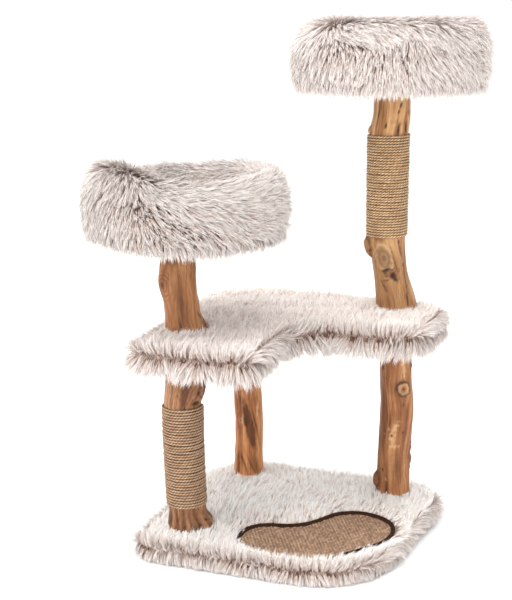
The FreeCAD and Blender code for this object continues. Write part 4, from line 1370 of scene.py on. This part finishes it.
def cushion(prefix, material):
    """A round loose cushion: a crowned form blown up as cloth, with a piped seam."""
    low, high = box(prefix + "_cushion")
    centre = (low + high) / 2
    radius = (high[0] - low[0]) / 2 - 9 * MM
    half = (high[2] - low[2]) / 2 - 7 * MM
    turns, rings = CUSHION_TURNS, CUSHION_RINGS
    angles = np.linspace(0, 2 * math.pi, turns, endpoint=False)
    points = [(0.0, 0.0, half)]
    levels = []
    for side in (1, -1):
        shares = np.linspace(1 / rings, 1.0, rings)
        if side < 0:
            shares = shares[-2::-1]
        for share in shares:
            levels.append((radius * share, side * half * math.sqrt(max(0.0, 1 - share**6))))
    for r, z in levels:
        for a in angles:
            points.append((r * math.cos(a), r * math.sin(a), z))
    points.append((0.0, 0.0, -half))
    count = len(levels)
    faces = [(0, 1 + k, 1 + (k + 1) % turns) for k in range(turns)]
    faces += [tuple(1 + i for i in reversed(face)) for face in tube_faces(count, turns)]
    last = 1 + (count - 1) * turns
    faces += [(len(points) - 1, last + (k + 1) % turns, last + k) for k in range(turns)]
    flat = np.array(points) + centre
    name = prefix + "_soft_cushion"
    body = prefix.replace("_bed", "_cushion")
    pad = piece(name, flat, faces, material, [prefix + "_cushion"], body)
    blow_up(pad, flat)
    seam_pipe(prefix + "_cushion_piping", pad, centre, material, body)


def blow_up(pad, before):
    """Swells a pad as cloth under pressure, and smooths the middle of each face, where its points are
    too close together to swell evenly."""
    cloth = pad.modifiers.new("Cloth", "CLOTH")
    settings = cloth.settings
    settings.use_pressure = True
    settings.uniform_pressure_force = CLOTH_PRESSURE
    settings.tension_stiffness = CLOTH_STIFFNESS
    settings.compression_stiffness = CLOTH_STIFFNESS
    settings.bending_stiffness = CLOTH_BENDING
    settings.effector_weights.gravity = 0.0
    scene = bpy.context.scene
    for number in range(1, CLOTH_FRAMES + 1):
        scene.frame_set(number)
    move = mesh_points(pad.evaluated_get(bpy.context.evaluated_depsgraph_get()).data) - before
    pad.modifiers.remove(cloth)
    scene.frame_set(1)
    far = np.linalg.norm(move, axis=1, keepdims=True)
    move *= np.minimum(1.0, CUSHION_SWELL / np.maximum(far, 1e-9))
    settled = before + move
    middle = before.mean(0)
    reach = np.hypot(*(before - middle)[:, :2].T)
    share = reach / reach.max()
    for side in (1, -1):
        face = (before[:, 2] - middle[2]) * side > 0
        still = face & (share < CUSHION_MIDDLE)
        rim = face & (np.abs(share - CUSHION_MIDDLE - 0.03) < 0.05)
        rise = side * CUSHION_CROWN * (1 - (share[still] / CUSHION_MIDDLE) ** 2)
        settled[still, 2] = settled[rim, 2].mean() + rise
    pad.data.vertices.foreach_set("co", settled.ravel())
    pad.data.update()


def seam_pipe(name, pad, centre, material, body):
    """Piping sewn round a cushion's widest line."""
    points = mesh_points(pad.data) - centre
    reach = np.hypot(points[:, 0], points[:, 1])
    turns, columns = PIPING_TURNS, 10
    angles = np.linspace(0, 2 * math.pi, turns, endpoint=False)
    bearing = np.arctan2(points[:, 1], points[:, 0])
    radius = []
    for angle in angles:
        near = np.abs(np.angle(np.exp(1j * (bearing - angle)))) < 0.09
        radius.append(reach[near].max())
    smooth = np.convolve(np.tile(radius, 3), np.ones(9) / 9, "same")[turns:2 * turns]
    around = np.linspace(0, 2 * math.pi, columns, endpoint=False)
    size = PIPING_RADIUS * (1 + 0.06 * np.sin(angles * 90))[:, None]
    out = np.stack([np.cos(angles), np.sin(angles)], axis=1)
    r = smooth[:, None] + np.cos(around)[None] * size
    z = np.broadcast_to(np.sin(around)[None] * size, r.shape)
    ring = np.stack([out[:, :1] * r, out[:, 1:] * r, z], axis=-1) + centre
    piece(name, ring.reshape(-1, 3), tube_faces(turns, columns, True), material, body=body)


# ================= CAD nodes that stay =================

def dress_cad():
    """Gives the CAD nodes that no piece replaces their materials."""
    kept = (
        (board_material(), ("base_board", "platform_board", "left_bed_board", "top_bed_board")),
        (steel_material(), ("log_inserts", "platform_studs", "base_bolts", "base_washers",
                            "back_post_washer", "back_post_bolt", "bed_bolts", "bed_washers")),
        (plastic_material(), ("base_glides",)),
    )
    for material, nodes in kept:
        for node in nodes:
            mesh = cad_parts[node].data
            mesh.materials.clear()
            mesh.materials.append(material)


# ================= camera, floor and light =================

def aim(obj, place, target):
    """Puts a camera or a light at a place, and turns it to a target."""
    obj.location = place
    obj.rotation_euler = (Vector(target) - Vector(place)).to_track_quat("-Z", "Y").to_euler()


def make_camera():
    """The photo's view."""
    data = bpy.data.cameras.new("camera")
    data.lens = CAMERA_LENS
    data.sensor_width = 36.0
    obj = new_object("camera", data)
    azimuth, pitch = math.radians(CAMERA_AZIMUTH), math.radians(CAMERA_PITCH)
    back = Vector((math.sin(azimuth) * math.cos(pitch), -math.cos(azimuth) * math.cos(pitch),
                   math.sin(pitch)))
    aim(obj, Vector(CAMERA_TARGET) + back * CAMERA_DISTANCE, CAMERA_TARGET)
    bpy.context.scene.camera = obj


def area_light(name, place, target, size, power):
    data = bpy.data.lights.new(name, "AREA")
    data.shape = "DISK"
    data.size = size
    data.energy = power
    aim(new_object(name, data), place, target)


def make_studio():
    """A white floor, an even sky and the lights."""
    mesh = bpy.data.meshes.new("floor")
    reach = FLOOR_REACH
    mesh.from_pydata([(-reach, -reach, 0), (reach, -reach, 0), (reach, reach, 0), (-reach, reach, 0)],
                     [], [(0, 1, 2, 3)])
    floor = new_object("floor", mesh)
    paper = Pattern("white_paper", 0.9)
    tone = paper.noise(paper.place(), 3.0, 2.0)
    paper.colour(paper.ramp(tone, [(0.3, (252, 252, 252)), (0.7, (255, 255, 255))]))
    mesh.materials.append(paper.material)
    world = bpy.data.worlds.new("studio")
    world.use_nodes = True
    world.node_tree.nodes["Background"].inputs["Color"].default_value = (1, 1, 1, 1)
    world.node_tree.nodes["Background"].inputs["Strength"].default_value = WORLD_LIGHT
    bpy.context.scene.world = world
    for light in LIGHTS:
        area_light(*light)
    bpy.context.scene.view_settings.view_transform = "Standard"


# ================= the whole tree =================

def main():
    make_camera()
    make_studio()
    dress_cad()
    make_logs()
    rope = jute_material("jute_rope", 420.0, ((142, 104, 68), (192, 154, 112), (226, 194, 152)),
                         (74, 48, 30), 0.1)
    old_rope = jute_material("worn_jute_rope", 420.0, ((128, 92, 66), (174, 138, 106), (212, 180, 144)),
                             (66, 42, 28), 0.1)
    rope_wrap("left_rope_winding", "left_lower_rope", "left_lower_log", old_rope)
    rope_wrap("right_rope_winding", "right_upper_rope", "right_upper_log", rope)
    woven_mat(jute_material("jute_mat", 620.0, ((106, 75, 52), (164, 127, 98), (226, 190, 154)),
                            (66, 42, 30), 0.05, 0.1))
    felt = felt_material("dark_felt", (44, 27, 18), (78, 54, 38))
    mat_border(felt)
    under_cloth("base_felt_sheet", "base_underside_felt", felt, 0.0)
    lining = woven_material("lining_cloth", (104, 92, 86), (66, 56, 52), 900.0)
    for prefix in ("platform", "left_bed", "top_bed"):
        under_cloth(prefix + "_lining_sheet", prefix + "_underside_cloth", lining, 1.0)
    backing = skin_material()
    # Lit and shaded copies of one fur: painted light on the piles of the boards' tops, most on the base under
    # the platform, and painted shade on the boards' edges and on the beds.
    edge_strands = fur_materials("edge_fur", 0.95)
    make_base_fur(edge_strands, fur_materials("base_pile", 1.14), backing)
    make_platform_fur(edge_strands, fur_materials("platform_pile", 1.06), backing)
    foam, plush = foam_material(), plush_material()
    make_bed("left_bed", LEFT_BED_LOOK, fur_materials("left_bed_fur", 0.91), backing, foam, plush, 300)
    make_bed("top_bed", TOP_BED_LOOK, fur_materials("top_bed_fur", 0.97), backing, foam, plush, 400)


main()
